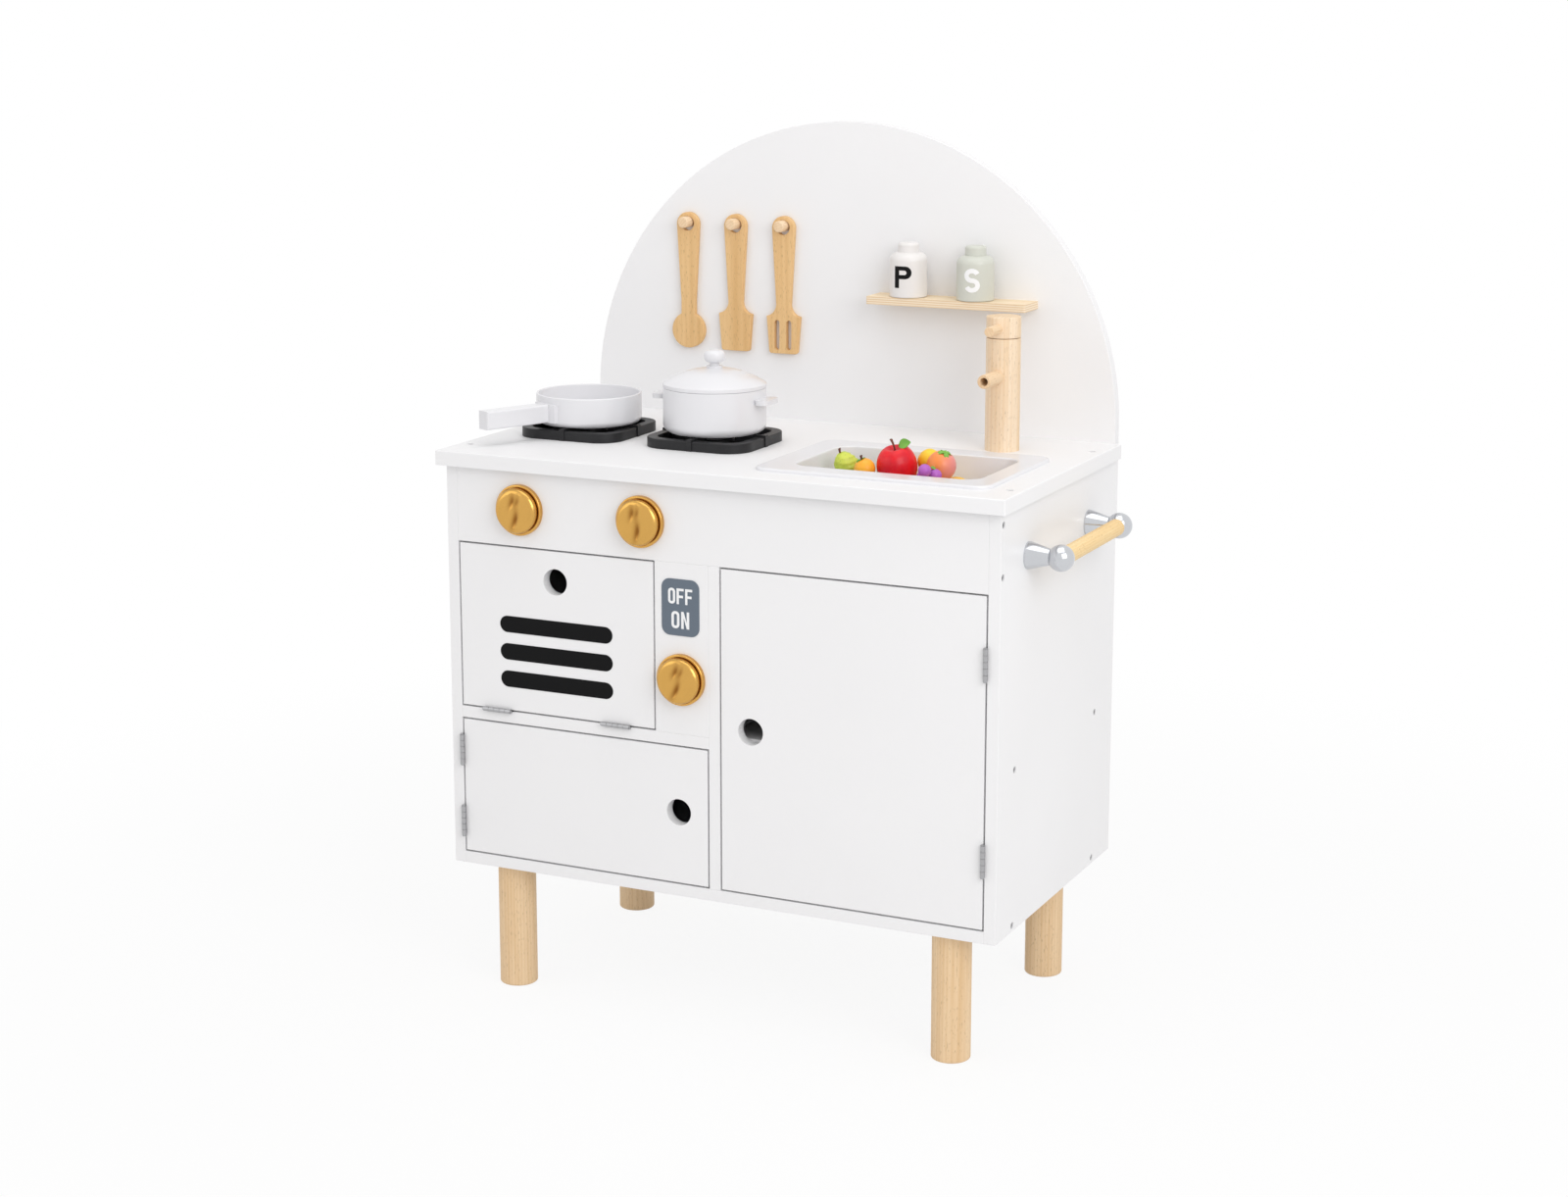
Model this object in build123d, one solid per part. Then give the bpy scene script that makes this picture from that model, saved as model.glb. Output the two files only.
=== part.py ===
from build123d import *
import math
import os

# Wooden play kitchen: a painted cabinet on four round legs, with an oven, two
# cupboards, a hob, a sink and a tall back board with a half-round top.
# Millimetres. X runs to the right, Y to the back, Z up. The shapes are drawn
# about the middle of the cabinet, with the floor at zero, and every piece is
# moved at the end so that the origin is the middle of the whole footprint.

# Cabinet
width = 600
depth = 320
board = 12
leg_height = 132
leg_radius = 19.5
leg_inset_x = 56
leg_inset_y = 30
leg_edge_round = 2
counter_height = 566
counter_thick = 15
counter_side_overhang = 7
counter_front_overhang = 10
fascia_height = 78
shelf_height = 288
divider_offset = 2
switch_panel_width = 59
overall_height = 885
arch_board_bottom = 470
back_panel_thick = 9
board_edge_round = 1.2
board_ease = 0.5

# Doors
door_gap = 1.8
finger_hole_radius = 13.5
finger_hole_inset = 32
oven_hole_drop = 31
lower_hole_drop = 67
cupboard_hole_drop = 160
stripe_length = 129.5
stripe_height = 17
stripe_pitch = 28.5
stripe_drop = 79.5
print_thick = 0.3

# Hinges, catches and strikes
hinge_length = 32
leaf_thick = 0.7
leaf_width = 14
knuckle_radius = 2.4
knuckle_count = 5
knuckle_slack = 0.15
knuckle_stand_off = 0.4
hinge_pin_radius = 1.2
pin_clearance = 0.05
pin_head_radius = 1.9
pin_head_thick = 0.8
hinge_inset = 16
cupboard_hinge_inset_low = 53
cupboard_hinge_inset_high = 49
oven_hinge_inset = 26
catch_width = 34
catch_depth = 12
catch_height = 16
catch_overlap = 12
catch_gap = 0.3
strike_thick = 1
strike_length = 26
strike_inset = 1

# Dials
bezel_radius = 26
bezel_thick = 2
bezel_rim_width = 2
bezel_rim_height = 5
dial_radius = 23
dial_thick = 9.5
dial_back_gap = 1.5
dial_neck_radius = 12
dial_scoop_radius = 15
dial_scoop_spread = 20.5
dial_scoop_depth = 4
stub_radius = 5
snap_radius = 7
snap_thick = 2.5
stove_dial_left_x = -214.5
stove_dial_pitch = 137
stove_dial_drop = 40
oven_dial_rise = 56
oven_dial_lean = 76
stove_right_lean = 92
stove_left_lean = 84
dial_edge_round = 1.5
dial_neck_clearance = 1

# Hob, pans
grate_size = 116
grate_corner = 26
grate_height = 10
grate_bar = 11
grate_rib_width = 6
grate_rib_reach = 34
grate_rib_proud = 2
grate_rib_overhang = 1
grate_edge_round = 1.2
grate_left_x = -219
grate_pitch = 147
grate_y = -9
burner_radius = 20
burner_height = 6
burner_round = 2
web_sink = 2
web_drop = 2
rest_gap = 0.3
pan_radius = 55
pan_height = 31
pan_wall = 2.5
pan_floor = 3
pan_corner = 6
pan_handle_width = 17
pan_handle_height = 19
pan_handle_length = 78
pan_handle_drop = 7
pan_handle_turn = 245.5
pan_handle_wall = 3
pan_handle_round = 2
pan_handle_root = 8
pan_clasp_span = 34
pan_clasp_thick = 4
pot_radius = 53
pot_height = 46
pot_wall = 2.5
pot_corner = 9
pot_handle_reach = 13
pot_handle_span = 32
pot_handle_thick = 5
pot_handle_drop = 9
pot_handle_corner = 6
pot_handle_sink = 2
lid_rim = 3.5
lid_dome = 16
lid_wall = 2.5
lid_ring_clearance = 1
lid_knob_radius = 11
lid_knob_height = 19
lid_knob_neck = 5
lid_knob_foot = 3
lid_knob_sink = 1.2

# Sink and tap
basin_x = 153
basin_y = -45
basin_length = 246
basin_width = 180
basin_rim_height = 3.5
basin_rim_corner = 16
bowl_length = 194
bowl_width = 124
bowl_shift = 4
bowl_depth = 45
bowl_corner = 18
bowl_floor_round = 8
bowl_taper = 6
basin_wall = 2.5
cutout_clearance = 1.5
tap_x = 208
tap_y = 79
tap_radius = 17.5
tap_post_height = 114
tap_cap_height = 21
tap_cap_gap = 0.6
tap_pin_radius = 4
tap_pin_rise = 14
tap_pin_sink = 22
tap_edge_round = 0.8
spout_radius = 7
spout_bore = 4.2
spout_bore_depth = 30
spout_reach = 53
spout_rise = 76
spout_sink = 14
lever_radius = 5
lever_reach = 41
lever_sink = 9
apple_radius = 20.5
peach_radius = 17
lemon_radius = 17
apricot_radius = 15
small_lemon_radius = 13
plum_radius = 14
pear_radius = 14
lime_radius = 12
orange_radius = 10.5
grape_radius = 6.5

# Back board fittings
spice_shelf_length = 176
spice_shelf_depth = 38
spice_shelf_thick = 8
spice_shelf_x = 126
spice_shelf_height = 708
spice_shelf_corner = 2
shaker_radius = 19.5
shaker_body = 46
shaker_cap_radius = 11
shaker_cap_height = 10
shaker_cap_round = 3
shaker_shoulder = 9
shaker_foot_round = 1
shaker_inset = 40.5
shaker_pitch = 74.5
shaker_board_gap = 1
peg_radius = 6
peg_reach = 18
peg_sink = 10
peg_round = 1.5
peg_first_x = -186.5
peg_pitch = 57
utensil_thick = 6
utensil_hang_height = 772
utensil_length = 147
utensil_top_radius = 13
utensil_neck = 8.2
utensil_hole_radius = 8
utensil_hole_drop = 12
utensil_edge_round = 0.9
utensil_flare = 13
spoon_radius = 19.3
spatula_shoulder = 19.5
spatula_tip = 16.2
spatula_height = 40
spatula_corner = 3
turner_slot_width = 6
turner_slot_height = 32
turner_slot_pitch = 14

# Towel rail
rail_drop = 68
rail_y = -3
rail_span = 170
rail_stand_off = 33
rail_ball_radius = 13
rail_base_radius = 13.5
rail_base_edge = 1.5
rail_neck_radius = 8
rail_bar_radius = 8.5
rail_bar_sink = 7

# Fasteners
screw_head_radius = 3.5
screw_head_depth = 2.5
screw_sink = 1
screw_slot_length = 4
screw_slot_width = 0.8
screw_slot_depth = 1.2
screw_radius = 2
screw_length = 38
screw_front_inset = 6
fascia_screw_drop = 12
fascia_screw_rise = 16
shelf_screw_spread = 115
counter_screw_spread = 115
counter_screw_shift = -8
back_screw_length = 24
back_screw_share = 0.15
dowel_radius = 3
dowel_depth = 8
dowel_spread = 80
leg_bolt_radius = 4
leg_bolt_depth = 36
leg_bolt_head_radius = 8
leg_bolt_head_thick = 3
leg_bolt_head_round = 1

# Levels and planes that follow from the sizes above
side = width / 2
inner = side - board
front = -depth / 2
rear = depth / 2
base_low = leg_height
base_top = base_low + board
counter_low = counter_height - counter_thick
fascia_low = counter_low - fascia_height
shelf_top = shelf_height + board
divider_left = divider_offset - board / 2
divider_right = divider_offset + board / 2
door_back = front + board
switch_left = divider_left - switch_panel_width
hinge_y = front - knuckle_stand_off - knuckle_radius
arch_centre = overall_height - side
board_rear = rear + board
grate_right_x = grate_left_x + grate_pitch
pan_seat = counter_height + grate_height + grate_rib_proud
pan_base = pan_seat + rest_gap
dial_level = counter_low - stove_dial_drop
oven_dial_x = (switch_left + divider_left) / 2
oven_dial_level = shelf_top + oven_dial_rise
tap_top = counter_height + tap_post_height
bowl_x = basin_x + bowl_shift
bowl_floor = counter_height + basin_rim_height - bowl_depth
rail_x = side + rail_stand_off
rail_height = counter_height - rail_drop
footprint_right = rail_x + rail_ball_radius
footprint_left = -side - counter_side_overhang
frame_x = (footprint_left + footprint_right) / 2

BOTTOM = (Align.CENTER, Align.CENTER, Align.MIN)


def block(x0, x1, y0, y1, z0, z1):
    """A square-edged board between two opposite corners."""
    middle = Pos((x0 + x1) / 2, (y0 + y1) / 2, (z0 + z1) / 2)
    return middle * Box(x1 - x0, y1 - y0, z1 - z0)


def rod(start, end, radius):
    """A round bar between two points."""
    reach = Vector(*end) - Vector(*start)
    return Plane(origin=start, z_dir=reach) * Cylinder(radius, reach.length, align=BOTTOM)


def slab_y(outline, y_front, thick):
    """A flat outline, drawn in X and Z, made solid from y_front towards the back."""
    face = Plane(origin=(0, y_front, 0), x_dir=(1, 0, 0), z_dir=(0, -1, 0)) * outline
    return extrude(face, amount=-thick)


def save(name, *pieces):
    """Moves a sub-part into the part's own frame and writes it."""
    solids = []
    for piece in pieces:
        solids.extend((Pos(-frame_x, 0, 0) * piece).solids())
    shape = solids[0] if len(solids) == 1 else Compound(children=solids)
    export_step(shape, f"parts/{name}.step")


# Screws and dowels

def screw(head, direction, length):
    """A wood screw with a cross slot, its head just below a surface."""
    seat = Plane(origin=head, z_dir=direction)
    top = Pos(0, 0, screw_sink) * Cylinder(screw_head_radius, screw_head_depth, align=BOTTOM)
    shank = Pos(0, 0, screw_sink) * Cylinder(screw_radius, length - screw_sink, align=BOTTOM)
    body = top + shank
    for turn in (0, 90):
        slot = Box(screw_slot_length, screw_slot_width, screw_slot_depth, align=BOTTOM)
        body -= Rot(0, 0, turn) * (Pos(0, 0, screw_sink) * slot)
    return seat * body


def screw_hole(head, direction, length):
    """What the screw takes out of the boards, up to the surface."""
    seat = Plane(origin=head, z_dir=direction)
    top = Cylinder(screw_head_radius, screw_sink + screw_head_depth, align=BOTTOM)
    return seat * (top + Cylinder(screw_radius, length, align=BOTTOM))


def side_screws(sign):
    """Screws through one side panel into the fascia, a shelf and the bottom board."""
    fascia_y = front + screw_front_inset
    spots = [(fascia_y, counter_low - fascia_screw_drop), (fascia_y, fascia_low + fascia_screw_rise)]
    for y in (-shelf_screw_spread, shelf_screw_spread):
        spots.append((y, shelf_height + board / 2))
        spots.append((y, base_low + board / 2))
    return [((sign * side, y, z), (-sign, 0, 0), screw_length) for y, z in spots]


def counter_screws():
    """Four screws down through the countertop into the side panels."""
    made = []
    for sign in (-1, 1):
        for spread in (-counter_screw_spread, counter_screw_spread):
            head = (sign * (side - board / 2), spread + counter_screw_shift, counter_height)
            made.append((head, (0, 0, -1), screw_length))
    return made


def cabinet_screw_places():
    return side_screws(-1) + side_screws(1) + counter_screws()


def back_screw_places():
    """Screws from behind: two boards into the sides, bottom, countertop and fittings."""
    made = []
    panel_rear = rear + back_panel_thick
    edge = side - board / 2
    low_span = arch_board_bottom - base_low
    for sign in (-1, 1):
        for share in (back_screw_share, 1 - back_screw_share):
            spot = (sign * edge, panel_rear, base_low + low_span * share)
            made.append((spot, (0, -1, 0), back_screw_length))
        spot = (sign * width / 4, panel_rear, base_low + board / 2)
        made.append((spot, (0, -1, 0), back_screw_length))
        for drop in (board, counter_low - arch_board_bottom - board):
            spot = (sign * edge, board_rear, counter_low - drop)
            made.append((spot, (0, -1, 0), back_screw_length))
    for x in (-width / 4, width / 4):
        spot = (x, board_rear, counter_height - counter_thick / 2)
        made.append((spot, (0, -1, 0), back_screw_length))
    for sign in (-1, 1):
        x = spice_shelf_x + sign * spice_shelf_length / 3
        spot = (x, board_rear, spice_shelf_height - spice_shelf_thick / 2)
        made.append((spot, (0, -1, 0), back_screw_length))
    return made


def dowel_pins():
    """Dowels that join the divider and the switch panel to the boards around them."""
    made = []
    for y in (-dowel_spread, dowel_spread):
        level = shelf_height + board / 2
        made.append(rod((divider_left - dowel_depth, y, level),
                        (divider_right + dowel_depth, y, level), dowel_radius))
        for low, high in ((base_top - dowel_depth, base_top + 2 * dowel_depth),
                          (counter_low - 2 * dowel_depth, counter_low + dowel_depth)):
            made.append(rod((divider_offset, y, low), (divider_offset, y, high), dowel_radius))
    panel_y = front + board / 2
    for sign in (-1, 1):
        x = oven_dial_x + sign * switch_panel_width / 4
        for level in (shelf_top, fascia_low):
            made.append(rod((x, panel_y, level - dowel_depth),
                            (x, panel_y, level + dowel_depth), dowel_radius))
    return made


def without(piece, cutters):
    """Takes the cutters that reach into a piece out of it."""
    box = piece.bounding_box()
    for cutter in cutters:
        other = cutter.bounding_box()
        apart = (other.min.X >= box.max.X or other.max.X <= box.min.X
                 or other.min.Y >= box.max.Y or other.max.Y <= box.min.Y
                 or other.min.Z >= box.max.Z or other.max.Z <= box.min.Z)
        if not apart:
            piece = piece - cutter
    return piece


# Cabinet boards

def eased(piece):
    """Takes the sharpness off the edges round a board's front face."""
    return fillet(piece.faces().sort_by(Axis.Y)[0].edges(), board_ease)


def side_panel(sign):
    low, high = sorted((sign * inner, sign * side))
    return eased(block(low, high, front, rear, base_low, counter_low))


def bottom_board():
    board_solid = eased(block(-inner, inner, front, rear, base_low, base_top))
    for x, y in leg_places():
        board_solid -= Pos(x, y, base_low) * Cylinder(leg_bolt_radius, board, align=BOTTOM)
    return board_solid


def middle_divider():
    """The upright between oven and cupboard, notched for the fascia."""
    upright = block(divider_left, divider_right, front, rear, base_top, counter_low)
    upright -= block(divider_left, divider_right, front, door_back, fascia_low, counter_low)
    return eased(upright)


def oven_floor_board():
    return eased(block(-inner, divider_left, front, rear, shelf_height, shelf_top))


def cupboard_shelf():
    return block(divider_right, inner, door_back + door_gap, rear, shelf_height, shelf_top)


def control_fascia():
    fascia = eased(block(-inner, inner, front, door_back, fascia_low, counter_low))
    for x in (stove_dial_left_x, stove_dial_left_x + stove_dial_pitch):
        fascia -= stub_hole(x, dial_level)
    return fascia


def switch_panel():
    panel = eased(block(switch_left, divider_left, front, door_back, shelf_top, fascia_low))
    return panel - stub_hole(oven_dial_x, oven_dial_level)


def stub_hole(x, z):
    return rod((x, front, z), (x, door_back, z), stub_radius + pin_clearance)


def countertop():
    """The worktop with rounded edges and the cut-out for the basin."""
    reach = side + counter_side_overhang
    top = block(-reach, reach, front - counter_front_overhang, rear, counter_low, counter_height)
    rounded = top.edges().filter_by(Axis.Z).group_by(Axis.Y)[0]
    rounded += top.faces().sort_by(Axis.Z)[-1].edges().sort_by(Axis.Y)[:-1]
    top = fillet(rounded, board_edge_round)
    length = bowl_length + 2 * (basin_wall + cutout_clearance)
    breadth = bowl_width + 2 * (basin_wall + cutout_clearance)
    corner = bowl_corner + basin_wall + cutout_clearance
    cutout = Pos(bowl_x, basin_y, counter_low) * extrude(
        RectangleRounded(length, breadth, corner), amount=counter_thick)
    return top - cutout


def arch_backboard():
    """The tall board behind the worktop: straight sides under a half circle."""
    arch = Pos(0, arch_centre) * Circle(side)
    sides = Pos(0, (arch_board_bottom + arch_centre) / 2) * Rectangle(
        width, arch_centre - arch_board_bottom)
    below = Pos(0, arch_board_bottom - side) * Rectangle(2 * width, 2 * side)
    plate = slab_y((arch + sides) - below, rear, board)
    edges = plate.faces().sort_by(Axis.Y)[0].edges().sort_by(Axis.Z)[1:]
    plate = fillet(edges, board_ease)
    for x in peg_places():
        plate -= rod((x, rear, peg_level()), (x, rear + peg_sink, peg_level()), peg_radius)
    return plate


def lower_back_panel():
    return block(-side, side, rear, rear + back_panel_thick, base_low, arch_board_bottom)


def leg_places():
    """Centres of the legs: front left, front right, back left, back right."""
    x = side - leg_inset_x
    y = rear - leg_inset_y
    return [(-x, -y), (x, -y), (-x, y), (x, y)]


def leg(x, y):
    """A round leg with a softened foot and a hole for its bolt."""
    post = Cylinder(leg_radius, leg_height, align=BOTTOM)
    post = fillet(post.edges().sort_by(Axis.Z)[0], leg_edge_round)
    hole = Pos(0, 0, leg_height - leg_bolt_depth) * Cylinder(
        leg_bolt_radius, leg_bolt_depth, align=BOTTOM)
    return Pos(x, y, 0) * (post - hole)


def leg_bolts():
    """Bolts down through the bottom board into the legs."""
    made = []
    for x, y in leg_places():
        shank = Pos(x, y, leg_height - leg_bolt_depth) * Cylinder(
            leg_bolt_radius, leg_bolt_depth + board, align=BOTTOM)
        head = Cylinder(leg_bolt_head_radius, leg_bolt_head_thick, align=BOTTOM)
        head = fillet(head.edges().sort_by(Axis.Z)[-1], leg_bolt_head_round)
        head = Pos(x, y, base_top) * head
        made.append(shank + head)
    return made


# Hinges, catches and strikes

def hinge_seats():
    """Each hinge's own plane: z along the pin, x towards the fixed leaf, y to the back."""
    middle = door_gap / 2
    reach = inner - middle
    floor_line = shelf_top + middle
    low, high = lower_door_levels()
    oven_left, oven_right = oven_door_span()
    cup_low, cup_high = cupboard_door_levels()
    half = hinge_length / 2
    seats = {"oven": [], "lower": [], "cupboard": []}
    for x in (oven_left + oven_hinge_inset + half, oven_right - oven_hinge_inset - half):
        seats["oven"].append(Plane((x, hinge_y, floor_line), x_dir=(0, 0, -1), z_dir=(1, 0, 0)))
    for z in (low + hinge_inset + half, high - hinge_inset - half):
        seats["lower"].append(Plane((-reach, hinge_y, z), x_dir=(-1, 0, 0), z_dir=(0, 0, -1)))
    for z in (cup_low + cupboard_hinge_inset_low + half, cup_high - cupboard_hinge_inset_high - half):
        seats["cupboard"].append(Plane((reach, hinge_y, z), x_dir=(1, 0, 0), z_dir=(0, 0, 1)))
    return seats


def hinge_leaf(first):
    """A leaf whose plate lies on the +x side; first says which knuckles it holds."""
    outer = door_gap / 2
    clear = knuckle_radius + knuckle_stand_off
    half = hinge_length / 2
    leaf = block(outer - leaf_thick, outer, clear, clear + leaf_width, -half, half)
    pitch = hinge_length / knuckle_count
    bore_wall = (knuckle_radius + hinge_pin_radius) / 2
    for index in range(first, knuckle_count, 2):
        low = -half + index * pitch + knuckle_slack
        high = low + pitch - 2 * knuckle_slack
        tab = block(outer - leaf_thick, outer, bore_wall, clear, low, high)
        knuckle = Pos(0, 0, low) * Cylinder(knuckle_radius, high - low, align=BOTTOM)
        leaf = leaf + knuckle + tab
    bore = Cylinder(hinge_pin_radius + pin_clearance, hinge_length)
    return leaf - bore


def frame_leaves():
    leaf = hinge_leaf(0)
    return [seat * leaf for seats in hinge_seats().values() for seat in seats]


def door_leaves(door):
    leaf = mirror(hinge_leaf(1), Plane.YZ)
    return [seat * leaf for seat in hinge_seats()[door]]


def hinge_pins():
    """A pin through the knuckles of each hinge, with a small head at both ends."""
    half = hinge_length / 2
    pin = Cylinder(hinge_pin_radius, hinge_length)
    for z in (-half, half):
        middle = z + math.copysign(pin_head_thick / 2, z)
        pin += Pos(0, 0, middle) * Cylinder(pin_head_radius, pin_head_thick)
    return [seat * pin for seats in hinge_seats().values() for seat in seats]


def magnetic_catches():
    """One behind the fascia for the oven door and one on each face of the divider."""
    nose = door_back + strike_thick + catch_gap
    tail = nose + catch_depth
    x = oven_door_span()[1] - catch_width
    pad = block(x - catch_width, x, door_back, tail, fascia_low, fascia_low + catch_height)
    body = block(x - catch_width, x, nose, tail, fascia_low - catch_overlap, fascia_low)
    made = [pad + body]
    high = lower_door_levels()[1]
    made.append(block(divider_left - catch_height, divider_left, nose, tail,
                      high - 2 * hinge_inset - catch_width, high - 2 * hinge_inset))
    high = cupboard_door_levels()[1]
    made.append(block(divider_right, divider_right + catch_height, nose, tail,
                      high - 2 * catch_width, high - catch_width))
    return made


def strike(x0, x1, z0, z1):
    """A steel plate on the back of a door, opposite its catch."""
    return block(x0, x1, door_back, door_back + strike_thick, z0, z1)


def oven_strike():
    x = oven_door_span()[1] - 1.5 * catch_width
    high = oven_door_levels()[1]
    return strike(x - strike_length / 2, x + strike_length / 2,
                  high - catch_overlap + strike_inset, high - strike_inset)


def lower_strike():
    right = lower_door_span()[1]
    high = lower_door_levels()[1]
    z = high - 2 * hinge_inset - catch_width / 2
    return strike(right - catch_overlap, right - strike_inset,
                  z - strike_length / 2, z + strike_length / 2)


def cupboard_strike():
    left = cupboard_door_span()[0]
    high = cupboard_door_levels()[1]
    z = high - 1.5 * catch_width
    return strike(left + strike_inset, left + catch_overlap,
                  z - strike_length / 2, z + strike_length / 2)


# Doors

def oven_door_span():
    return -inner + door_gap, switch_left - door_gap


def oven_door_levels():
    return shelf_top + door_gap, fascia_low - door_gap


def lower_door_span():
    return -inner + door_gap, divider_left - door_gap


def lower_door_levels():
    return base_top + door_gap, shelf_height - door_gap


def cupboard_door_span():
    return divider_right + door_gap, inner - door_gap


def cupboard_door_levels():
    return base_top + door_gap, fascia_low - door_gap


def door(span, levels, hole_x, hole_z):
    """An inset door with softened front edges and a round finger hole."""
    leaf = block(*span, front, door_back, *levels)
    leaf = fillet(leaf.faces().sort_by(Axis.Y)[0].edges(), board_edge_round / 2)
    return leaf - rod((hole_x, front, hole_z), (hole_x, door_back, hole_z), finger_hole_radius)


def oven_door():
    left, right = oven_door_span()
    low, high = oven_door_levels()
    return door((left, right), (low, high), (left + right) / 2, high - oven_hole_drop)


def oven_door_stripes():
    """Three printed bars below the finger hole."""
    left, right = oven_door_span()
    high = oven_door_levels()[1]
    bars = []
    for index in range(3):
        z = high - stripe_drop - index * stripe_pitch
        bar = Pos((left + right) / 2, z) * SlotOverall(stripe_length, stripe_height)
        bars.append(slab_y(bar, front - print_thick, print_thick))
    return bars


def lower_door():
    left, right = lower_door_span()
    low, high = lower_door_levels()
    return door((left, right), (low, high), right - finger_hole_inset, high - lower_hole_drop)


def cupboard_door():
    left, right = cupboard_door_span()
    low, high = cupboard_door_levels()
    return door((left, right), (low, high), left + finger_hole_inset, high - cupboard_hole_drop)


# Dials

def dial_seats():
    """Places of the dials: both hob dials on the fascia and the oven dial below."""
    right_x = stove_dial_left_x + stove_dial_pitch
    return [(stove_dial_left_x, dial_level), (right_x, dial_level), (oven_dial_x, oven_dial_level)]


def facing(x, z):
    """A plane on the cabinet's front whose z axis points at the user."""
    return Plane(origin=(x, front, z), x_dir=(1, 0, 0), z_dir=(0, -1, 0))


def knob_bezels():
    """Dished rings that the dials turn in."""
    disc = Cylinder(bezel_radius, bezel_rim_height, align=BOTTOM)
    disc = fillet(disc.edges().sort_by(Axis.Z)[-1], bezel_rim_width * 0.6)
    disc -= Pos(0, 0, bezel_thick) * Cylinder(
        bezel_radius - bezel_rim_width, bezel_rim_height, align=BOTTOM)
    disc -= Cylinder(dial_neck_radius + dial_neck_clearance, bezel_thick, align=BOTTOM)
    return [facing(x, z) * disc for x, z in dial_seats()]


def dial(x, z, lean):
    """A round dial with two scoops that leave a grip ridge, on a stub with a snap end."""
    back = bezel_thick + dial_back_gap
    face = back + dial_thick
    disc = Pos(0, 0, back) * Cylinder(dial_radius, dial_thick, align=BOTTOM)
    disc = fillet(disc.edges().sort_by(Axis.Z)[-1], dial_edge_round)
    lift = dial_scoop_radius - dial_scoop_depth
    for sign in (-1, 1):
        middle = sign * dial_scoop_spread / 2
        disc -= Pos(middle, 0, face + lift) * Sphere(dial_scoop_radius)
    neck = Pos(0, 0, rest_gap) * Cylinder(dial_neck_radius, back, align=BOTTOM)
    stub = Pos(0, 0, -board - rest_gap) * Cylinder(stub_radius, board + back, align=BOTTOM)
    snap = Pos(0, 0, -board - rest_gap - snap_thick) * Cylinder(
        snap_radius, snap_thick, align=BOTTOM)
    return facing(x, z) * Rot(0, 0, lean - 90) * (disc + neck + stub + snap)


# Hob and pans

def burner_grate(x):
    """A rounded square frame with four ribs that carry a pan, and a burner cap."""
    outer = RectangleRounded(grate_size, grate_size, grate_corner)
    hole = RectangleRounded(grate_size - 2 * grate_bar, grate_size - 2 * grate_bar,
                            grate_corner - grate_bar)
    frame = extrude(outer - hole, amount=grate_height)
    frame = fillet(frame.edges().group_by(Axis.Z)[-1], grate_edge_round)
    half = grate_size / 2
    for turn in range(4):
        rib = block(half - grate_rib_reach, half + grate_rib_overhang, -grate_rib_width / 2,
                    grate_rib_width / 2, 0, grate_height + grate_rib_proud)
        rib = fillet(rib.edges().group_by(Axis.Z)[-1], grate_edge_round / 2)
        web = block(burner_radius - web_sink, half - grate_bar, -grate_rib_width / 2,
                    grate_rib_width / 2, 0, burner_height - web_drop)
        frame += Rot(0, 0, 90 * turn) * (rib + web)
    cap = Cylinder(burner_radius, burner_height, align=BOTTOM)
    cap = fillet(cap.edges().sort_by(Axis.Z)[-1], burner_round)
    return Pos(x, grate_y, counter_height) * (frame + cap)


def cup(radius, height, wall, floor, corner):
    """A round vessel with a rounded bottom corner and a rounded lip."""
    body = Cylinder(radius, height, align=BOTTOM)
    body = fillet(body.edges().sort_by(Axis.Z)[0], corner)
    hollow = Pos(0, 0, floor) * Cylinder(radius - wall, height, align=BOTTOM)
    hollow = fillet(hollow.edges().sort_by(Axis.Z)[0], corner - wall)
    body = body - hollow
    return fillet(body.edges().sort_by(Axis.Z)[-2:], wall * 0.4)


def saucepan():
    pan = cup(pan_radius, pan_height, pan_wall, pan_floor, pan_corner)
    return Pos(grate_left_x, grate_y, pan_base) * pan


def saucepan_handle():
    """A box handle, open underneath, that ends in a clasp round the pan's wall."""
    top = pan_height - pan_handle_drop
    low = top - pan_handle_height
    half = pan_handle_width / 2
    end = pan_radius + pan_handle_length
    wall = pan_handle_wall
    bar = block(pan_radius - wall, end, -half, half, low, top)
    bar = fillet(bar.edges().filter_by(Axis.X) + bar.faces().sort_by(Axis.X)[-1].edges()
                 .filter_by(Axis.Z), pan_handle_round)
    bar -= block(pan_radius + pan_handle_root, end - wall, -half + wall, half - wall, low, top - wall)
    clasp = Pos(0, 0, low) * Cylinder(pan_radius + pan_clasp_thick, pan_handle_height, align=BOTTOM)
    clasp &= block(0, 2 * pan_radius, -pan_clasp_span / 2, pan_clasp_span / 2, low, top)
    body = Cylinder(pan_radius, pan_height, align=BOTTOM)
    body = fillet(body.edges().sort_by(Axis.Z)[0], pan_corner)
    handle = (bar + clasp) - body
    handle -= block(0, pan_radius - 2 * wall, -pan_clasp_span, pan_clasp_span, 0, pan_height)
    place = Pos(grate_left_x, grate_y, pan_base) * Rot(0, 0, pan_handle_turn)
    return place * max(handle.solids(), key=lambda solid: solid.volume)


def cooking_pot():
    """The pot with a flat tab handle on either side."""
    pot = cup(pot_radius, pot_height, pot_wall, pan_floor, pot_corner)
    level = pot_height - pot_handle_drop - pot_handle_thick
    for sign in (-1, 1):
        middle = pot_radius + (pot_handle_reach - pot_handle_sink) / 2
        outline = RectangleRounded(pot_handle_reach + pot_handle_sink, pot_handle_span,
                                   pot_handle_corner)
        tab = Pos(sign * middle, 0, level) * extrude(outline, amount=pot_handle_thick)
        pot += tab - Cylinder(pot_radius - pot_wall / 2, pot_height, align=BOTTOM)
    return Pos(grate_right_x, grate_y, pan_base) * pot


def lid_base():
    return pan_base + pot_height + rest_gap


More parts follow.
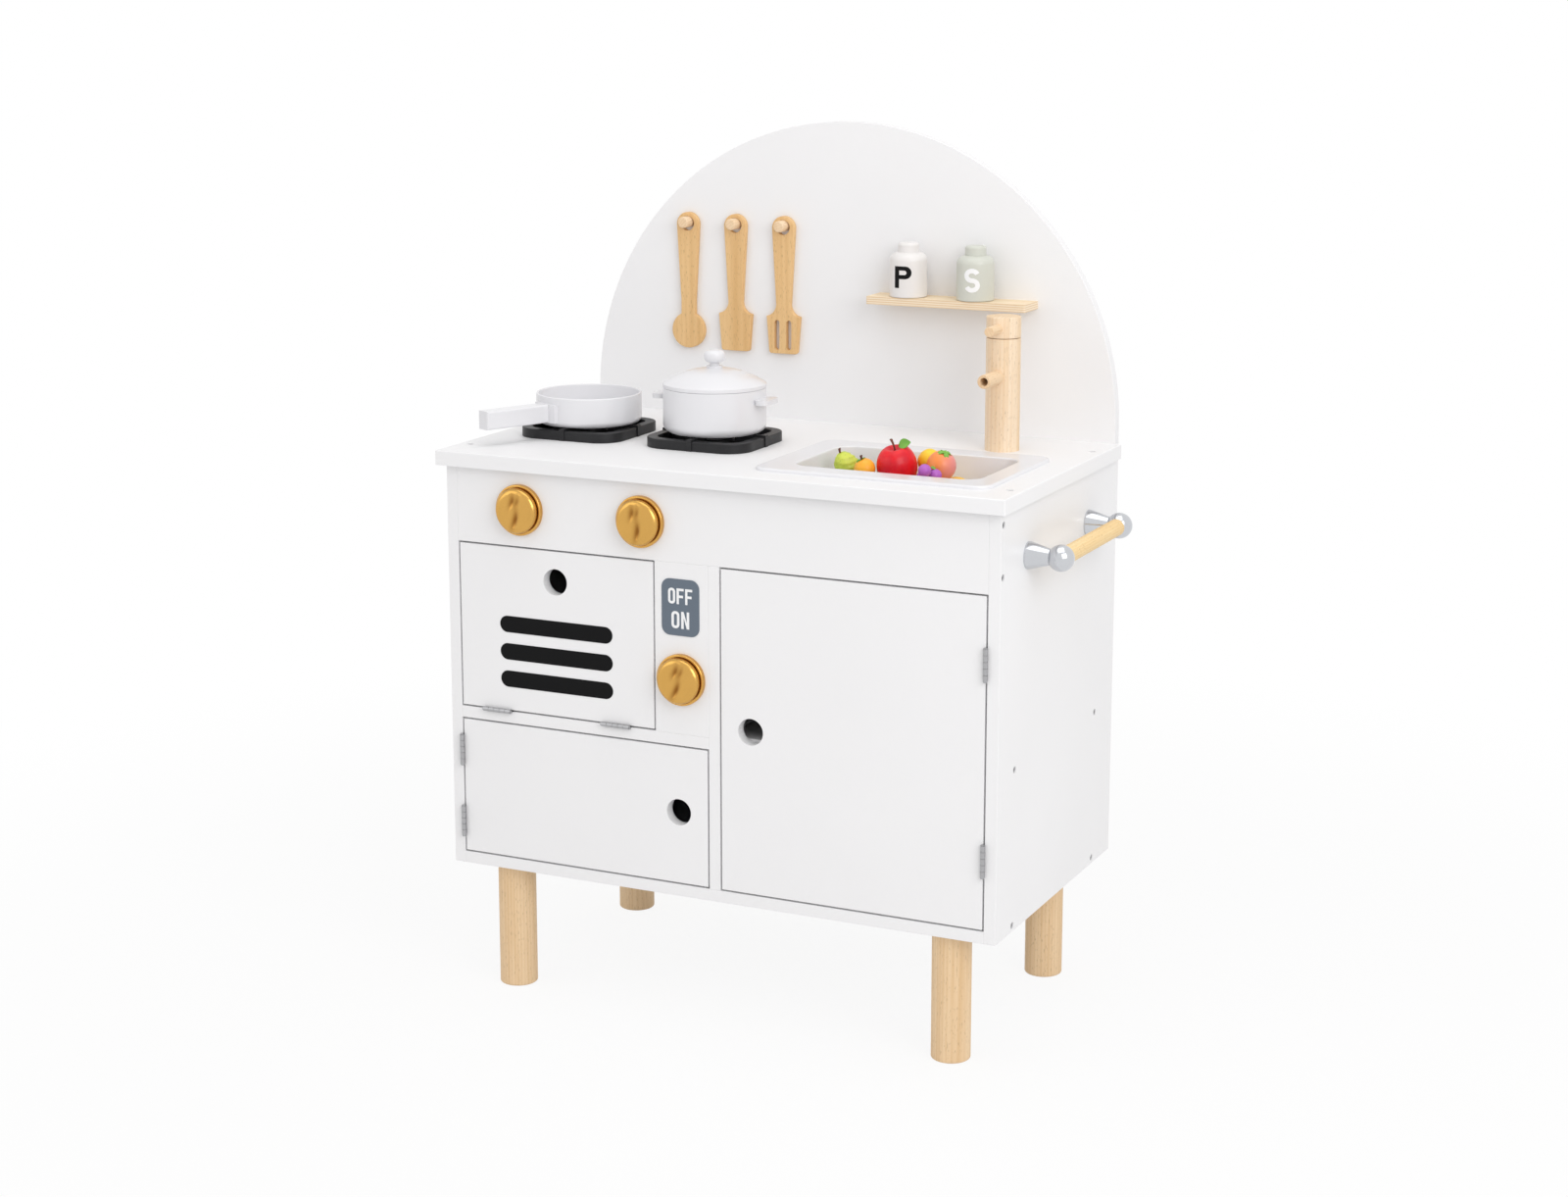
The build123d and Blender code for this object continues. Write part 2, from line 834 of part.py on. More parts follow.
def pot_lid():
    """A shallow dome with a rim that lies on the pot's lip and a ring that drops inside it."""
    ring_out = pot_radius - pot_wall - lid_ring_clearance
    crown = lid_rim + lid_dome
    rise = lid_dome
    sphere = (pot_radius ** 2 + rise ** 2) / (2 * rise)
    rim = Cylinder(pot_radius, lid_rim, align=BOTTOM)
    dome = Pos(0, 0, crown - sphere) * Sphere(sphere)
    dome &= Pos(0, 0, lid_rim) * Cylinder(pot_radius, crown, align=BOTTOM)
    cap = rim + dome
    hollow = Pos(0, 0, crown - lid_wall - sphere) * Sphere(sphere)
    hollow &= Pos(0, 0, -lid_rim) * Cylinder(ring_out - lid_wall, 2 * crown, align=BOTTOM)
    ring = Pos(0, 0, -lid_rim) * (Cylinder(ring_out, lid_rim, align=BOTTOM))
    lid = (cap + ring) - (hollow & Pos(0, 0, -lid_rim) * Cylinder(pot_radius, 2 * crown, align=BOTTOM))
    lid -= Pos(0, 0, -lid_rim) * Cylinder(ring_out - lid_wall, 2 * lid_rim, align=BOTTOM)
    return Pos(grate_right_x, grate_y, lid_base()) * lid


def pot_lid_knob():
    """A round button on a short neck, seated on the top of the dome."""
    crown = lid_rim + lid_dome
    neck = Cylinder(lid_knob_neck, lid_knob_height / 2, align=BOTTOM)
    foot = Cylinder(lid_knob_neck + lid_knob_foot, lid_knob_foot, align=BOTTOM)
    cap = Pos(0, 0, lid_knob_height / 3) * Cylinder(
        lid_knob_radius, lid_knob_height * 2 / 3, align=BOTTOM)
    cap = fillet(cap.edges(), lid_knob_height / 3.5)
    knob = neck + foot + cap
    dome_radius = (pot_radius ** 2 + lid_dome ** 2) / (2 * lid_dome)
    knob -= Pos(0, 0, lid_knob_sink - dome_radius) * Sphere(dome_radius)
    return Pos(grate_right_x, grate_y, lid_base() + crown - lid_knob_sink) * knob


# Sink and tap

def bowl_form(grow, floor_drop, height):
    """The tapering bowl: grow widens it for the outside of its wall."""
    length = bowl_length + 2 * grow
    breadth = bowl_width + 2 * grow
    form = extrude(RectangleRounded(length, breadth, bowl_corner + grow),
                   amount=-(height + floor_drop), taper=bowl_taper)
    return fillet(form.faces().sort_by(Axis.Z)[0].edges(), bowl_floor_round + grow)


def sink_basin():
    """A drop-in basin: a wide rim on the worktop and a bowl through its cut-out."""
    rim_top = counter_height + basin_rim_height
    rim = extrude(RectangleRounded(basin_length, basin_width, basin_rim_corner),
                  amount=basin_rim_height)
    rim = fillet(rim.edges().group_by(Axis.Z)[-1], basin_rim_height * 0.6)
    basin = Pos(basin_x, basin_y, counter_height) * rim
    outside = bowl_form(basin_wall, basin_wall, bowl_depth - basin_rim_height)
    basin += Pos(bowl_x, basin_y, counter_height) * outside
    inside = bowl_form(0, 0, bowl_depth)
    basin -= Pos(bowl_x, basin_y, rim_top) * inside
    lip = basin.faces().filter_by(Plane.XY).sort_by(Axis.Z)[-1].inner_wires()[0].edges()
    return fillet(lip, basin_rim_height * 0.5)


def faucet_post():
    post = Pos(tap_x, tap_y, counter_height) * Cylinder(tap_radius, tap_post_height, align=BOTTOM)
    post = fillet(post.edges().sort_by(Axis.Z)[-1], tap_edge_round)
    post -= rod((tap_x, tap_y, tap_top - tap_pin_sink), (tap_x, tap_y, tap_top), tap_pin_radius)
    return post - spout_rod(spout_radius)


def spout_rod(radius):
    level = counter_height + spout_rise
    root = tap_y - tap_radius + spout_sink
    return rod((tap_x, root, level), (tap_x, tap_y - spout_reach, level), radius)


def faucet_spout():
    """A bored wooden tube glued into the post."""
    tube = spout_rod(spout_radius)
    tube = fillet(tube.edges().sort_by(Axis.Y)[0], tap_edge_round)
    level = counter_height + spout_rise
    tip = tap_y - spout_reach
    return tube - rod((tap_x, tip, level), (tap_x, tip + spout_bore_depth, level), spout_bore)


def faucet_pivot_pin():
    return rod((tap_x, tap_y, tap_top - tap_pin_sink),
               (tap_x, tap_y, tap_top + tap_cap_gap + tap_pin_rise), tap_pin_radius)


def lever_rod():
    level = tap_top + tap_cap_gap + tap_cap_height * 0.45
    root = tap_y - tap_radius + lever_sink
    return rod((tap_x, root, level), (tap_x, tap_y - lever_reach, level), lever_radius)


def faucet_cap():
    """The turning cap, bored for its pin and for the lever."""
    base = tap_top + tap_cap_gap
    cap = Pos(tap_x, tap_y, base) * Cylinder(tap_radius, tap_cap_height, align=BOTTOM)
    cap = fillet(cap.edges().filter_by(GeomType.CIRCLE), tap_edge_round)
    cap -= rod((tap_x, tap_y, base), (tap_x, tap_y, base + tap_pin_rise + rest_gap),
               tap_pin_radius + pin_clearance)
    return cap - lever_rod()


def faucet_lever():
    lever = lever_rod()
    return fillet(lever.edges().sort_by(Axis.Y)[0], tap_edge_round)


def toy_fruit():
    """Play fruit piled in the bowl: each lies on the floor or on the fruit under it."""
    # Places to the right and back of the bowl's middle, as shares of its half length and width.
    pile = [(-0.34, -0.34, plum_radius), (0.13, -0.39, peach_radius), (-0.68, 0.35, lime_radius),
            (-0.14, 0.39, lemon_radius), (0.52, 0.06, lemon_radius), (0.23, 0.48, lemon_radius),
            (0.48, -0.55, lemon_radius), (-0.09, -0.08, apple_radius),
            (0.39, -0.1, apricot_radius), (0.18, 0.27, small_lemon_radius),
            (-0.38, -0.32, orange_radius), (-0.72, 0.16, pear_radius),
            (0.28, -0.42, grape_radius), (0.42, -0.45, grape_radius), (0.35, -0.61, grape_radius)]
    placed = []
    for across, back, radius in pile:
        x = bowl_x + across * bowl_length / 2
        y = basin_y + back * bowl_width / 2
        height = bowl_floor + radius + rest_gap
        for other_x, other_y, other_height, other_radius in placed:
            touch = radius + other_radius + rest_gap
            apart = math.hypot(x - other_x, y - other_y)
            if apart < touch:
                height = max(height, other_height + math.sqrt(touch ** 2 - apart ** 2))
        placed.append((x, y, height, radius))
    return [Pos(x, y, height) * Sphere(radius) for x, y, height, radius in placed]


# Back board fittings

def spice_shelf():
    """A ply shelf with rounded front corners."""
    half = spice_shelf_length / 2
    low = spice_shelf_height - spice_shelf_thick
    plank = block(spice_shelf_x - half, spice_shelf_x + half, rear - spice_shelf_depth, rear,
                  low, spice_shelf_height)
    corners = plank.edges().filter_by(Axis.Z).group_by(Axis.Y)[0]
    return fillet(corners, spice_shelf_corner)


def shaker(index):
    """A straight jar with a domed shoulder under a small cap."""
    x = spice_shelf_x - spice_shelf_length / 2 + shaker_inset + index * shaker_pitch
    jar = Cylinder(shaker_radius, shaker_body, align=BOTTOM)
    jar = fillet(jar.edges().sort_by(Axis.Z)[-1], shaker_shoulder)
    jar = fillet(jar.edges().sort_by(Axis.Z)[0], shaker_foot_round)
    cap = Cylinder(shaker_cap_radius, shaker_body + shaker_cap_height, align=BOTTOM)
    cap = fillet(cap.edges().sort_by(Axis.Z)[-1], shaker_cap_round)
    y = rear - shaker_radius - shaker_board_gap
    return Pos(x, y, spice_shelf_height + rest_gap) * (jar + cap)


def peg_places():
    return [peg_first_x + index * peg_pitch for index in range(3)]


def peg_level():
    """The pegs' centre line: a utensil's hole hangs on top of its peg."""
    return utensil_hang_height + utensil_hole_radius - peg_radius - rest_gap


def utensil_pegs():
    made = []
    for x in peg_places():
        peg = rod((x, rear + peg_sink, peg_level()), (x, rear - peg_reach, peg_level()), peg_radius)
        made.append(fillet(peg.edges().sort_by(Axis.Y)[0], peg_round))
    return made


def utensil_blank(x, blade):
    """A flat utensil with soft edges: a tapering handle with a round end, and its blade."""
    shoulder = utensil_low() + utensil_length - utensil_top_radius
    waist = utensil_waist()
    root = utensil_low() + spatula_height / 2
    handle = make_face(Polyline((x - utensil_top_radius, shoulder), (x + utensil_top_radius, shoulder),
                                (x + utensil_neck, waist), (x + utensil_neck, root),
                                (x - utensil_neck, root), (x - utensil_neck, waist), close=True))
    end = Pos(x, shoulder) * Circle(utensil_top_radius)
    hole = Pos(x, utensil_hang_height) * Circle(utensil_hole_radius)
    outline = handle + end + blade
    back = rear - rest_gap
    plate = slab_y(outline, back - utensil_thick, utensil_thick)
    plate = fillet(plate.faces().sort_by(Axis.Y)[0].edges(), utensil_edge_round)
    return plate - slab_y(hole, back - utensil_thick, utensil_thick)


def utensil_low():
    return utensil_hang_height + utensil_hole_drop - utensil_length


def utensil_waist():
    """Where the handle is narrowest, above the sweep of a blade's shoulders."""
    return utensil_low() + spatula_height + utensil_flare


def spoon():
    x = peg_places()[0]
    bowl = Pos(x, utensil_low() + spoon_radius) * Circle(spoon_radius)
    return utensil_blank(x, bowl)


def blade_face(x):
    """A blade that narrows to its tip, under shoulders that sweep up into the handle."""
    low = utensil_low()
    brow = low + spatula_height
    waist = utensil_waist()
    edge = Line((x - spatula_tip, low), (x + spatula_tip, low))
    edge += Line((x - utensil_neck, waist), (x + utensil_neck, waist))
    for sign in (-1, 1):
        shoulder = (x + sign * spatula_shoulder, brow)
        edge += Line((x + sign * spatula_tip, low), shoulder)
        edge += TangentArc((x + sign * utensil_neck, waist), shoulder, tangent=(0, -1))
    face = make_face(edge)
    return fillet(face.vertices().sort_by(Axis.Y)[:2], spatula_corner)


def spatula():
    x = peg_places()[1]
    return utensil_blank(x, blade_face(x))


def slotted_turner():
    x = peg_places()[2]
    plate = utensil_blank(x, blade_face(x))
    level = utensil_low() + spatula_height / 2
    back = rear - rest_gap
    for sign in (-1, 1):
        slot = Pos(x + sign * turner_slot_pitch / 2, level) * Rot(0, 0, 90) * SlotOverall(
            turner_slot_height, turner_slot_width)
        plate -= slab_y(slot, back - utensil_thick, utensil_thick)
    return plate


# Towel rail

def rail_ends():
    return [rail_y - rail_span / 2, rail_y + rail_span / 2]


def rail_bar_rod(radius):
    low, high = rail_ends()
    seat = rail_ball_radius - rail_bar_sink
    return rod((rail_x, low + seat, rail_height), (rail_x, high - seat, rail_height), radius)


def towel_rail_posts():
    """A flared foot on the side panel and a ball that holds the bar's end."""
    made = []
    waist = rail_stand_off - rail_ball_radius * 0.8
    profile = make_face(Polyline((0, 0), (rail_base_radius, 0), (rail_base_radius, rail_base_edge),
                                 (rail_neck_radius, waist), (rail_neck_radius, rail_stand_off),
                                 (0, rail_stand_off), close=True))
    foot = revolve(Plane.XZ * profile, Axis.Z)
    for y in rail_ends():
        seat = Plane(origin=(side, y, rail_height), z_dir=(1, 0, 0))
        ball = Pos(rail_x, y, rail_height) * Sphere(rail_ball_radius)
        made.append((seat * foot + ball) - rail_bar_rod(rail_bar_radius))
    return made


def towel_rail_bar():
    return rail_bar_rod(rail_bar_radius)


def main():
    os.makedirs("parts", exist_ok=True)
    places = cabinet_screw_places() + back_screw_places()
    fasteners = [screw_hole(*place) for place in places] + dowel_pins()

    save("side_panel_left", without(side_panel(-1), fasteners))
    save("side_panel_right", without(side_panel(1), fasteners))
    save("bottom_board", without(bottom_board(), fasteners))
    save("middle_divider", without(middle_divider(), fasteners))
    save("oven_floor_board", without(oven_floor_board(), fasteners))
    save("cupboard_shelf", without(cupboard_shelf(), fasteners))
    save("control_fascia", without(control_fascia(), fasteners))
    save("switch_panel", without(switch_panel(), fasteners))
    save("countertop", without(countertop(), fasteners))
    save("arch_backboard", without(arch_backboard(), fasteners))
    save("lower_back_panel", without(lower_back_panel(), fasteners))
    save("cabinet_screws", *[screw(*place) for place in cabinet_screw_places()])
    save("back_screws", *[screw(*place) for place in back_screw_places()])
    save("dowel_pins", *dowel_pins())

    names = ("leg_front_left", "leg_front_right", "leg_back_left", "leg_back_right")
    for name, (x, y) in zip(names, leg_places()):
        save(name, leg(x, y))
    save("leg_bolts", *leg_bolts())

    save("hinge_frame_leaves", *frame_leaves())
    save("hinge_pins", *hinge_pins())
    save("magnetic_catches", *magnetic_catches())
    save("oven_door", oven_door())
    save("oven_door_stripes", *oven_door_stripes())
    save("oven_door_hinge_leaves", *door_leaves("oven"))
    save("oven_door_strike", oven_strike())
    save("lower_door", lower_door())
    save("lower_door_hinge_leaves", *door_leaves("lower"))
    save("lower_door_strike", lower_strike())
    save("cupboard_door", cupboard_door())
    save("cupboard_door_hinge_leaves", *door_leaves("cupboard"))
    save("cupboard_door_strike", cupboard_strike())

    save("knob_bezels", *knob_bezels())
    leans = (stove_left_lean, stove_right_lean, oven_dial_lean)
    dials = ("stove_knob_left", "stove_knob_right", "oven_knob")
    for name, (x, z), lean in zip(dials, dial_seats(), leans):
        save(name, dial(x, z, lean))

    save("burner_grate_left", burner_grate(grate_left_x))
    save("burner_grate_right", burner_grate(grate_right_x))
    save("saucepan", saucepan())
    save("saucepan_handle", saucepan_handle())
    save("cooking_pot", cooking_pot())
    save("pot_lid", pot_lid())
    save("pot_lid_knob", pot_lid_knob())

    save("sink_basin", sink_basin())
    save("faucet_post", faucet_post())
    save("faucet_spout", faucet_spout())
    save("faucet_pivot_pin", faucet_pivot_pin())
    save("faucet_cap", faucet_cap())
    save("faucet_lever", faucet_lever())
    save("toy_fruit", *toy_fruit())

    save("spice_shelf", without(spice_shelf(), fasteners))
    save("pepper_shaker", shaker(0))
    save("salt_shaker", shaker(1))
    save("utensil_pegs", *utensil_pegs())
    save("spoon", spoon())
    save("spatula", spatula())
    save("slotted_turner", slotted_turner())
    save("towel_rail_posts", *towel_rail_posts())
    save("towel_rail_bar", towel_rail_bar())


main()
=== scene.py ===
# %% [markdown]
# A wooden play kitchen, dressed in Blender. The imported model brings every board, door, hinge and
# pot at full size. What is left is what an eye looks for from close by: paint, wood, plated
# metal, printed signs, sculpted dials and a bowl of play fruit. Each step below first says what
# the piece is on the real kitchen, how it could be made, and why this way was chosen.

# %% Load the frame
import math

import bmesh
import bpy
from mathutils import Matrix, Vector


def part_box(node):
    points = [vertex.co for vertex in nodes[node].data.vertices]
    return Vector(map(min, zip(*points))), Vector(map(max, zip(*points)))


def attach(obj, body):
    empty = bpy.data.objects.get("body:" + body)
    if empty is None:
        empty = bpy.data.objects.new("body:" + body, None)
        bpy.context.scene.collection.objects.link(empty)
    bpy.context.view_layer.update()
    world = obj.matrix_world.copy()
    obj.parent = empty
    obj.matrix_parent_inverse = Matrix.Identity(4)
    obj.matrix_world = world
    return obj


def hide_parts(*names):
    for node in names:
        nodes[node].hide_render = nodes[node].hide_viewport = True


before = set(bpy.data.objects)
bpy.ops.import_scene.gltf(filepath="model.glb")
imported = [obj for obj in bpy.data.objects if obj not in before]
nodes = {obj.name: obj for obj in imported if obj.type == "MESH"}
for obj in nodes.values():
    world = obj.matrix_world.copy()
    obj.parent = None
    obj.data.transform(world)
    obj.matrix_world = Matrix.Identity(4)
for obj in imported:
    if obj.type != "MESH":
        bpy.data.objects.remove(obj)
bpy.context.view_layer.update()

# %% [markdown]
# The camera. The kitchen was photographed from its right, from a little above. The direction,
# distance and lens were found by matching the corners of the cabinet. Its upright edges are almost
# parallel in the photograph, which a lens shift does, so this camera has a small one too.

# %% Camera
view_yaw = math.radians(25.42)
view_pitch = math.radians(11.21)
view_distance = 2.8525
view_target = Vector((-0.01754, 0, 0.50015))
view_lens = 64.2
view_shift = -0.05625
towards_camera = Vector((math.sin(view_yaw) * math.cos(view_pitch),
                         -math.cos(view_yaw) * math.cos(view_pitch),
                         math.sin(view_pitch)))
camera = bpy.data.objects.new("camera", bpy.data.cameras.new("camera"))
camera.data.lens = view_lens
camera.data.sensor_width = 36
camera.data.shift_y = view_shift
camera.data.clip_end = 60
camera.location = view_target + towards_camera * view_distance
camera.rotation_mode = "QUATERNION"
camera.rotation_quaternion = (-towards_camera).to_track_quat("-Z", "Y")
bpy.context.scene.collection.objects.link(camera)
bpy.context.scene.camera = camera
bpy.context.scene.view_settings.view_transform = "Standard"
print("camera at", [round(value, 3) for value in camera.location])

# %% [markdown]
# Shader maths. A material is a sum of small ideas: slow clouds, long fibres, fine dots. Wiring
# them by hand hides the idea, so a socket is wrapped in a class that can be added and multiplied,
# and every other node comes from one method that is told its type, its settings and its inputs.

# %% Sockets that do arithmetic
class Wire:
    """One output of a node. Arithmetic on it adds Math nodes."""

    def __init__(self, maker, socket):
        self.maker = maker
        self.socket = socket

    def math(self, operation, first, second):
        return self.maker.node("ShaderNodeMath", {"operation": operation}, {0: first, 1: second})

    def __add__(self, other):
        return self.math("ADD", self, other)

    def __sub__(self, other):
        return self.math("SUBTRACT", self, other)

    def __mul__(self, other):
        return self.math("MULTIPLY", self, other)

    def __pow__(self, other):
        return self.math("POWER", self, other)

    def __rsub__(self, other):
        return self.math("SUBTRACT", other, self)

    __radd__ = __add__
    __rmul__ = __mul__


# %% [markdown]
# A finish is a material while it is being made. Values that are the same all over are set on the
# shader's own sockets at the start. Only what changes over the surface is wired in at the end. The
# studio's light is made of nodes too, so what adds and feeds a node is shared with it.

# %% Finishes
class Nodes:
    """A tree of nodes under construction."""

    def __init__(self, tree):
        self.tree = tree

    def feed(self, socket, value):
        if isinstance(value, Wire):
            self.tree.links.new(value.socket, socket)
        else:
            socket.default_value = value

    def node(self, kind, settings=None, inputs=None, output=0):
        made = self.tree.nodes.new(kind)
        for setting, value in (settings or {}).items():
            setattr(made, setting, value)
        for socket, value in (inputs or {}).items():
            self.feed(made.inputs[socket], value)
        return Wire(self, made.outputs[output])

    def looking(self):
        """One for rays that carry the picture, zero for rays that only gather light."""
        rays = [self.node("ShaderNodeLightPath", output=name)
                for name in ("Is Camera Ray", "Is Glossy Ray", "Is Transmission Ray")]
        return self.node("ShaderNodeClamp", None, {0: rays[0] + rays[1] + rays[2]})


class Finish(Nodes):
    """A material under construction, with the helpers that the finishes share."""

    def __init__(self, name, **even):
        self.material = bpy.data.materials.new(name)
        self.material.use_nodes = True
        super().__init__(self.material.node_tree)
        self.shader = self.tree.nodes["Principled BSDF"]
        for socket, value in even.items():
            self.shader.inputs[socket.replace("_", " ")].default_value = value

    def place(self):
        """Where a point of the piece is, in metres."""
        return self.node("ShaderNodeTexCoord", output="Object")

    def facing(self, axis):
        """How far the surface faces along an axis of the piece, from 0 to 1."""
        normal = self.node("ShaderNodeTexCoord", output="Normal")
        return self.node("ShaderNodeMath", {"operation": "ABSOLUTE"}, {0: self.part(normal, axis)})

    def part(self, vector, axis):
        return self.node("ShaderNodeSeparateXYZ", None, {0: vector}, "XYZ".index(axis))

    def stretch(self, vector, by):
        return self.node("ShaderNodeVectorMath", {"operation": "MULTIPLY"}, {0: vector, 1: by})

    def shifted(self, vector, by):
        return self.node("ShaderNodeVectorMath", {"operation": "ADD"}, {0: vector, 1: by})

    def length(self, vector):
        return self.node("ShaderNodeVectorMath", {"operation": "LENGTH"}, {0: vector}, "Value")

    def noise(self, vector, scale, detail, roughness=0.5):
        return self.node("ShaderNodeTexNoise", None,
                         {"Vector": vector, "Scale": scale, "Detail": detail,
                          "Roughness": roughness}, "Fac")

    def step(self, value, low, high, start=0.0, end=1.0):
        """A smooth change from start to end while value goes from low to high."""
        return self.node("ShaderNodeMapRange", {"interpolation_type": "SMOOTHSTEP"},
                         {"Value": value, "From Min": low, "From Max": high,
                          "To Min": start, "To Max": end})

    def sine(self, value):
        wave = self.node("ShaderNodeMath", {"operation": "SINE"}, {0: value})
        return wave * 0.5 + 0.5

    def blend(self, factor, first, second):
        return self.node("ShaderNodeMix", {"data_type": "RGBA", "clamp_factor": True},
                         {0: factor, 6: first, 7: second}, 2)

    def bump(self, height, distance, strength):
        return self.node("ShaderNodeBump", None,
                         {"Height": height, "Distance": distance, "Strength": strength})

    def wire(self, **changing):
        """Feeds what changes over the surface and hands the material over."""
        for socket, value in changing.items():
            self.feed(self.shader.inputs[socket.replace("_", " ")], value)
        return self.material


def tint(red, green, blue):
    """A colour as a screen shows it, 0 to 255, in the linear numbers that shaders take."""
    linear = []
    for value in (red, green, blue):
        share = value / 255
        linear.append(share / 12.92 if share <= 0.04045 else ((share + 0.055) / 1.055) ** 2.4)
    return (*linear, 1.0)


def darker(colour, share):
    """A colour with only a share of its light."""
    return (*(value * share for value in colour[:3]), 1.0)


# %% [markdown]
# Paint. The boards look like fibreboard under a sprayed satin lacquer, almost white. From close by
# such a film has a faint orange peel, and clouds where the coat is thicker. A flat white would look
# like paper, so tone and gloss drift slowly and the peel bends the reflections.

# %% Painted boards
def white_lacquer():
    finish = Finish("white_lacquer", Specular_IOR_Level=0.45)
    place = finish.place()
    cloud = finish.noise(place, scale=6, detail=3)
    peel = finish.noise(place, scale=620, detail=1.5)
    tone = finish.blend(cloud, tint(240, 240, 241), tint(236, 236, 237))
    gloss = finish.step(cloud, 0.3, 0.7, start=0.4, end=0.5)
    return finish.wire(Base_Color=tone, Roughness=gloss,
                       Normal=finish.bump(peel, distance=0.00012, strength=0.35))


painted = ["side_panel_left", "side_panel_right", "bottom_board", "middle_divider",
           "oven_floor_board", "cupboard_shelf", "control_fascia", "switch_panel", "countertop",
           "arch_backboard", "lower_back_panel", "oven_door", "lower_door", "cupboard_door"]


def dress(material, names):
    """Puts a finish on CAD sub-parts."""
    for name in names:
        slots = nodes[name].material_slots
        if not slots:
            nodes[name].data.materials.append(material)
        for slot in slots:
            slot.material = material
    print(material.name, "on", len(names), "sub-parts")


dress(white_lacquer(), painted)

# %% [markdown]
# Wood. Legs, tap, pegs, rail and utensils look like beech, turned or cut along the grain. Real
# grain is three things at once: slow streaks of tone, year rings cut lengthwise, and short dark
# flecks. The rings are circles about a far heart line, so end grain shows arcs and long faces show
# stripes from the same maths. A picture of wood would repeat and would need unwrapping.

# %% Wood
def wood(name, light, dark, grain, ring_share, heart=(0.03, 0.021), ring_pitch=0.0034):
    """Beech whose fibres run along one axis; heart is how far off the year rings' middle lies."""
    finish = Finish(name, Specular_IOR_Level=0.35)
    across = [axis for axis in "XYZ" if axis != grain]
    along_share = {"streak": 0.05, "fibre": 0.02, "fleck": 0.16}
    place = finish.place()

    def drawn_out(kind):
        return finish.stretch(place, [along_share[kind] if axis == grain else 1 for axis in "XYZ"])

    streak = finish.noise(drawn_out("streak"), scale=95, detail=3, roughness=0.6)
    wander = finish.noise(drawn_out("streak"), scale=38, detail=2)
    fibre = finish.noise(drawn_out("fibre"), scale=1500, detail=3, roughness=0.6)
    fleck = finish.step(finish.noise(drawn_out("fleck"), scale=1150, detail=1), 0.62, 0.72)
    offset = [0.0, 0.0, 0.0]
    flat = [0 if axis == grain else 1 for axis in "XYZ"]
    for axis, reach in zip(across, heart):
        offset["XYZ".index(axis)] = reach
    radius = finish.length(finish.stretch(finish.shifted(place, offset), flat))
    wander_reach, ring_sharpness = 9, 2.2
    turns = radius * (math.tau / ring_pitch) + wander * wander_reach
    ring = finish.sine(turns) ** ring_sharpness
    end_grain = finish.step(finish.facing(grain), 0.8, 0.95)
    streak_share, fibre_share, end_share, fleck_share = 0.5, 0.22, 0.22, 0.45
    depth = (finish.step(streak, 0.3, 0.72) * streak_share + ring * ring_share
             + finish.step(fibre, 0.35, 0.7) * fibre_share + end_grain * end_share)
    tone = finish.blend(depth, light, dark)
    tone = finish.blend(fleck * fleck_share, tone, darker(dark, 0.55))
    height = fibre * 0.6 + ring * 0.25 - fleck * 0.5
    gloss = 0.5 + 0.12 * fibre
    return finish.wire(Base_Color=tone, Roughness=gloss,
                       Normal=finish.bump(height, distance=0.00008, strength=0.5))


leg_wood = wood("leg_beech", tint(238, 210, 172), tint(220, 184, 138), "Z", ring_share=0.32)
tap_wood = wood("tap_beech", tint(244, 224, 198), tint(229, 198, 158), "Z", heart=(-0.25, -0.08),
                ring_pitch=0.0042, ring_share=0.28)
side_wood = wood("peg_beech", tint(243, 219, 188), tint(227, 193, 150), "Y", heart=(0.02, -0.6),
                 ring_pitch=0.0028, ring_share=0.3)
rail_wood = wood("rail_beech", tint(244, 220, 170), tint(232, 193, 132), "Y", heart=(-0.33, -0.47),
                 ring_pitch=0.0026, ring_share=0.28)
spoon_wood = wood("utensil_beech", tint(232, 194, 140), tint(216, 172, 114), "Z",
                  heart=(0.16, -0.12), ring_pitch=0.0055, ring_share=0.28)
dress(leg_wood, ["leg_front_left", "leg_front_right", "leg_back_left", "leg_back_right",
                 "dowel_pins"])
dress(tap_wood, ["faucet_post", "faucet_cap", "faucet_pivot_pin"])
dress(side_wood, ["faucet_spout", "faucet_lever", "utensil_pegs"])
dress(rail_wood, ["towel_rail_bar"])
dress(spoon_wood, ["spoon", "spatula", "slotted_turner"])

# %% [markdown]
# Plywood. The spice shelf looks like birch ply: its faces are plain pale veneer, and its edges show
# the plies. Each ply could be a strip of its own. Here the bands are cut by height within the
# board, and a mask of how far the surface faces up keeps them off the faces, so that the shelf
# stays one piece.

# %% Plywood shelf
def birch_ply(name, ply_count):
    low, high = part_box(name)
    finish = Finish("birch_ply", Specular_IOR_Level=0.35)
    place = finish.place()
    fine = finish.noise(finish.stretch(place, (0.04, 1, 1)), scale=900, detail=3, roughness=0.6)
    slow = finish.noise(finish.stretch(place, (0.08, 1, 1)), scale=70, detail=2)
    layer = (finish.part(place, "Z") - low.z) * (math.tau * ply_count / 2 / (high.z - low.z))
    band = finish.step(finish.sine(layer + slow * 0.7), 0.35, 0.65)
    edge = finish.step(finish.facing("Z"), 0.6, 0.4)
    face_tone = finish.blend(slow * 0.6 + fine * 0.5, tint(248, 232, 206), tint(232, 206, 166))
    edge_tone = finish.blend(band * 0.75 + fine * 0.3, tint(244, 230, 208), tint(224, 196, 158))
    return finish.wire(Base_Color=finish.blend(edge, face_tone, edge_tone),
                       Roughness=0.5 + 0.14 * fine,
                       Normal=finish.bump(fine, distance=0.00008, strength=0.4))


dress(birch_ply("spice_shelf", ply_count=7), ["spice_shelf"])

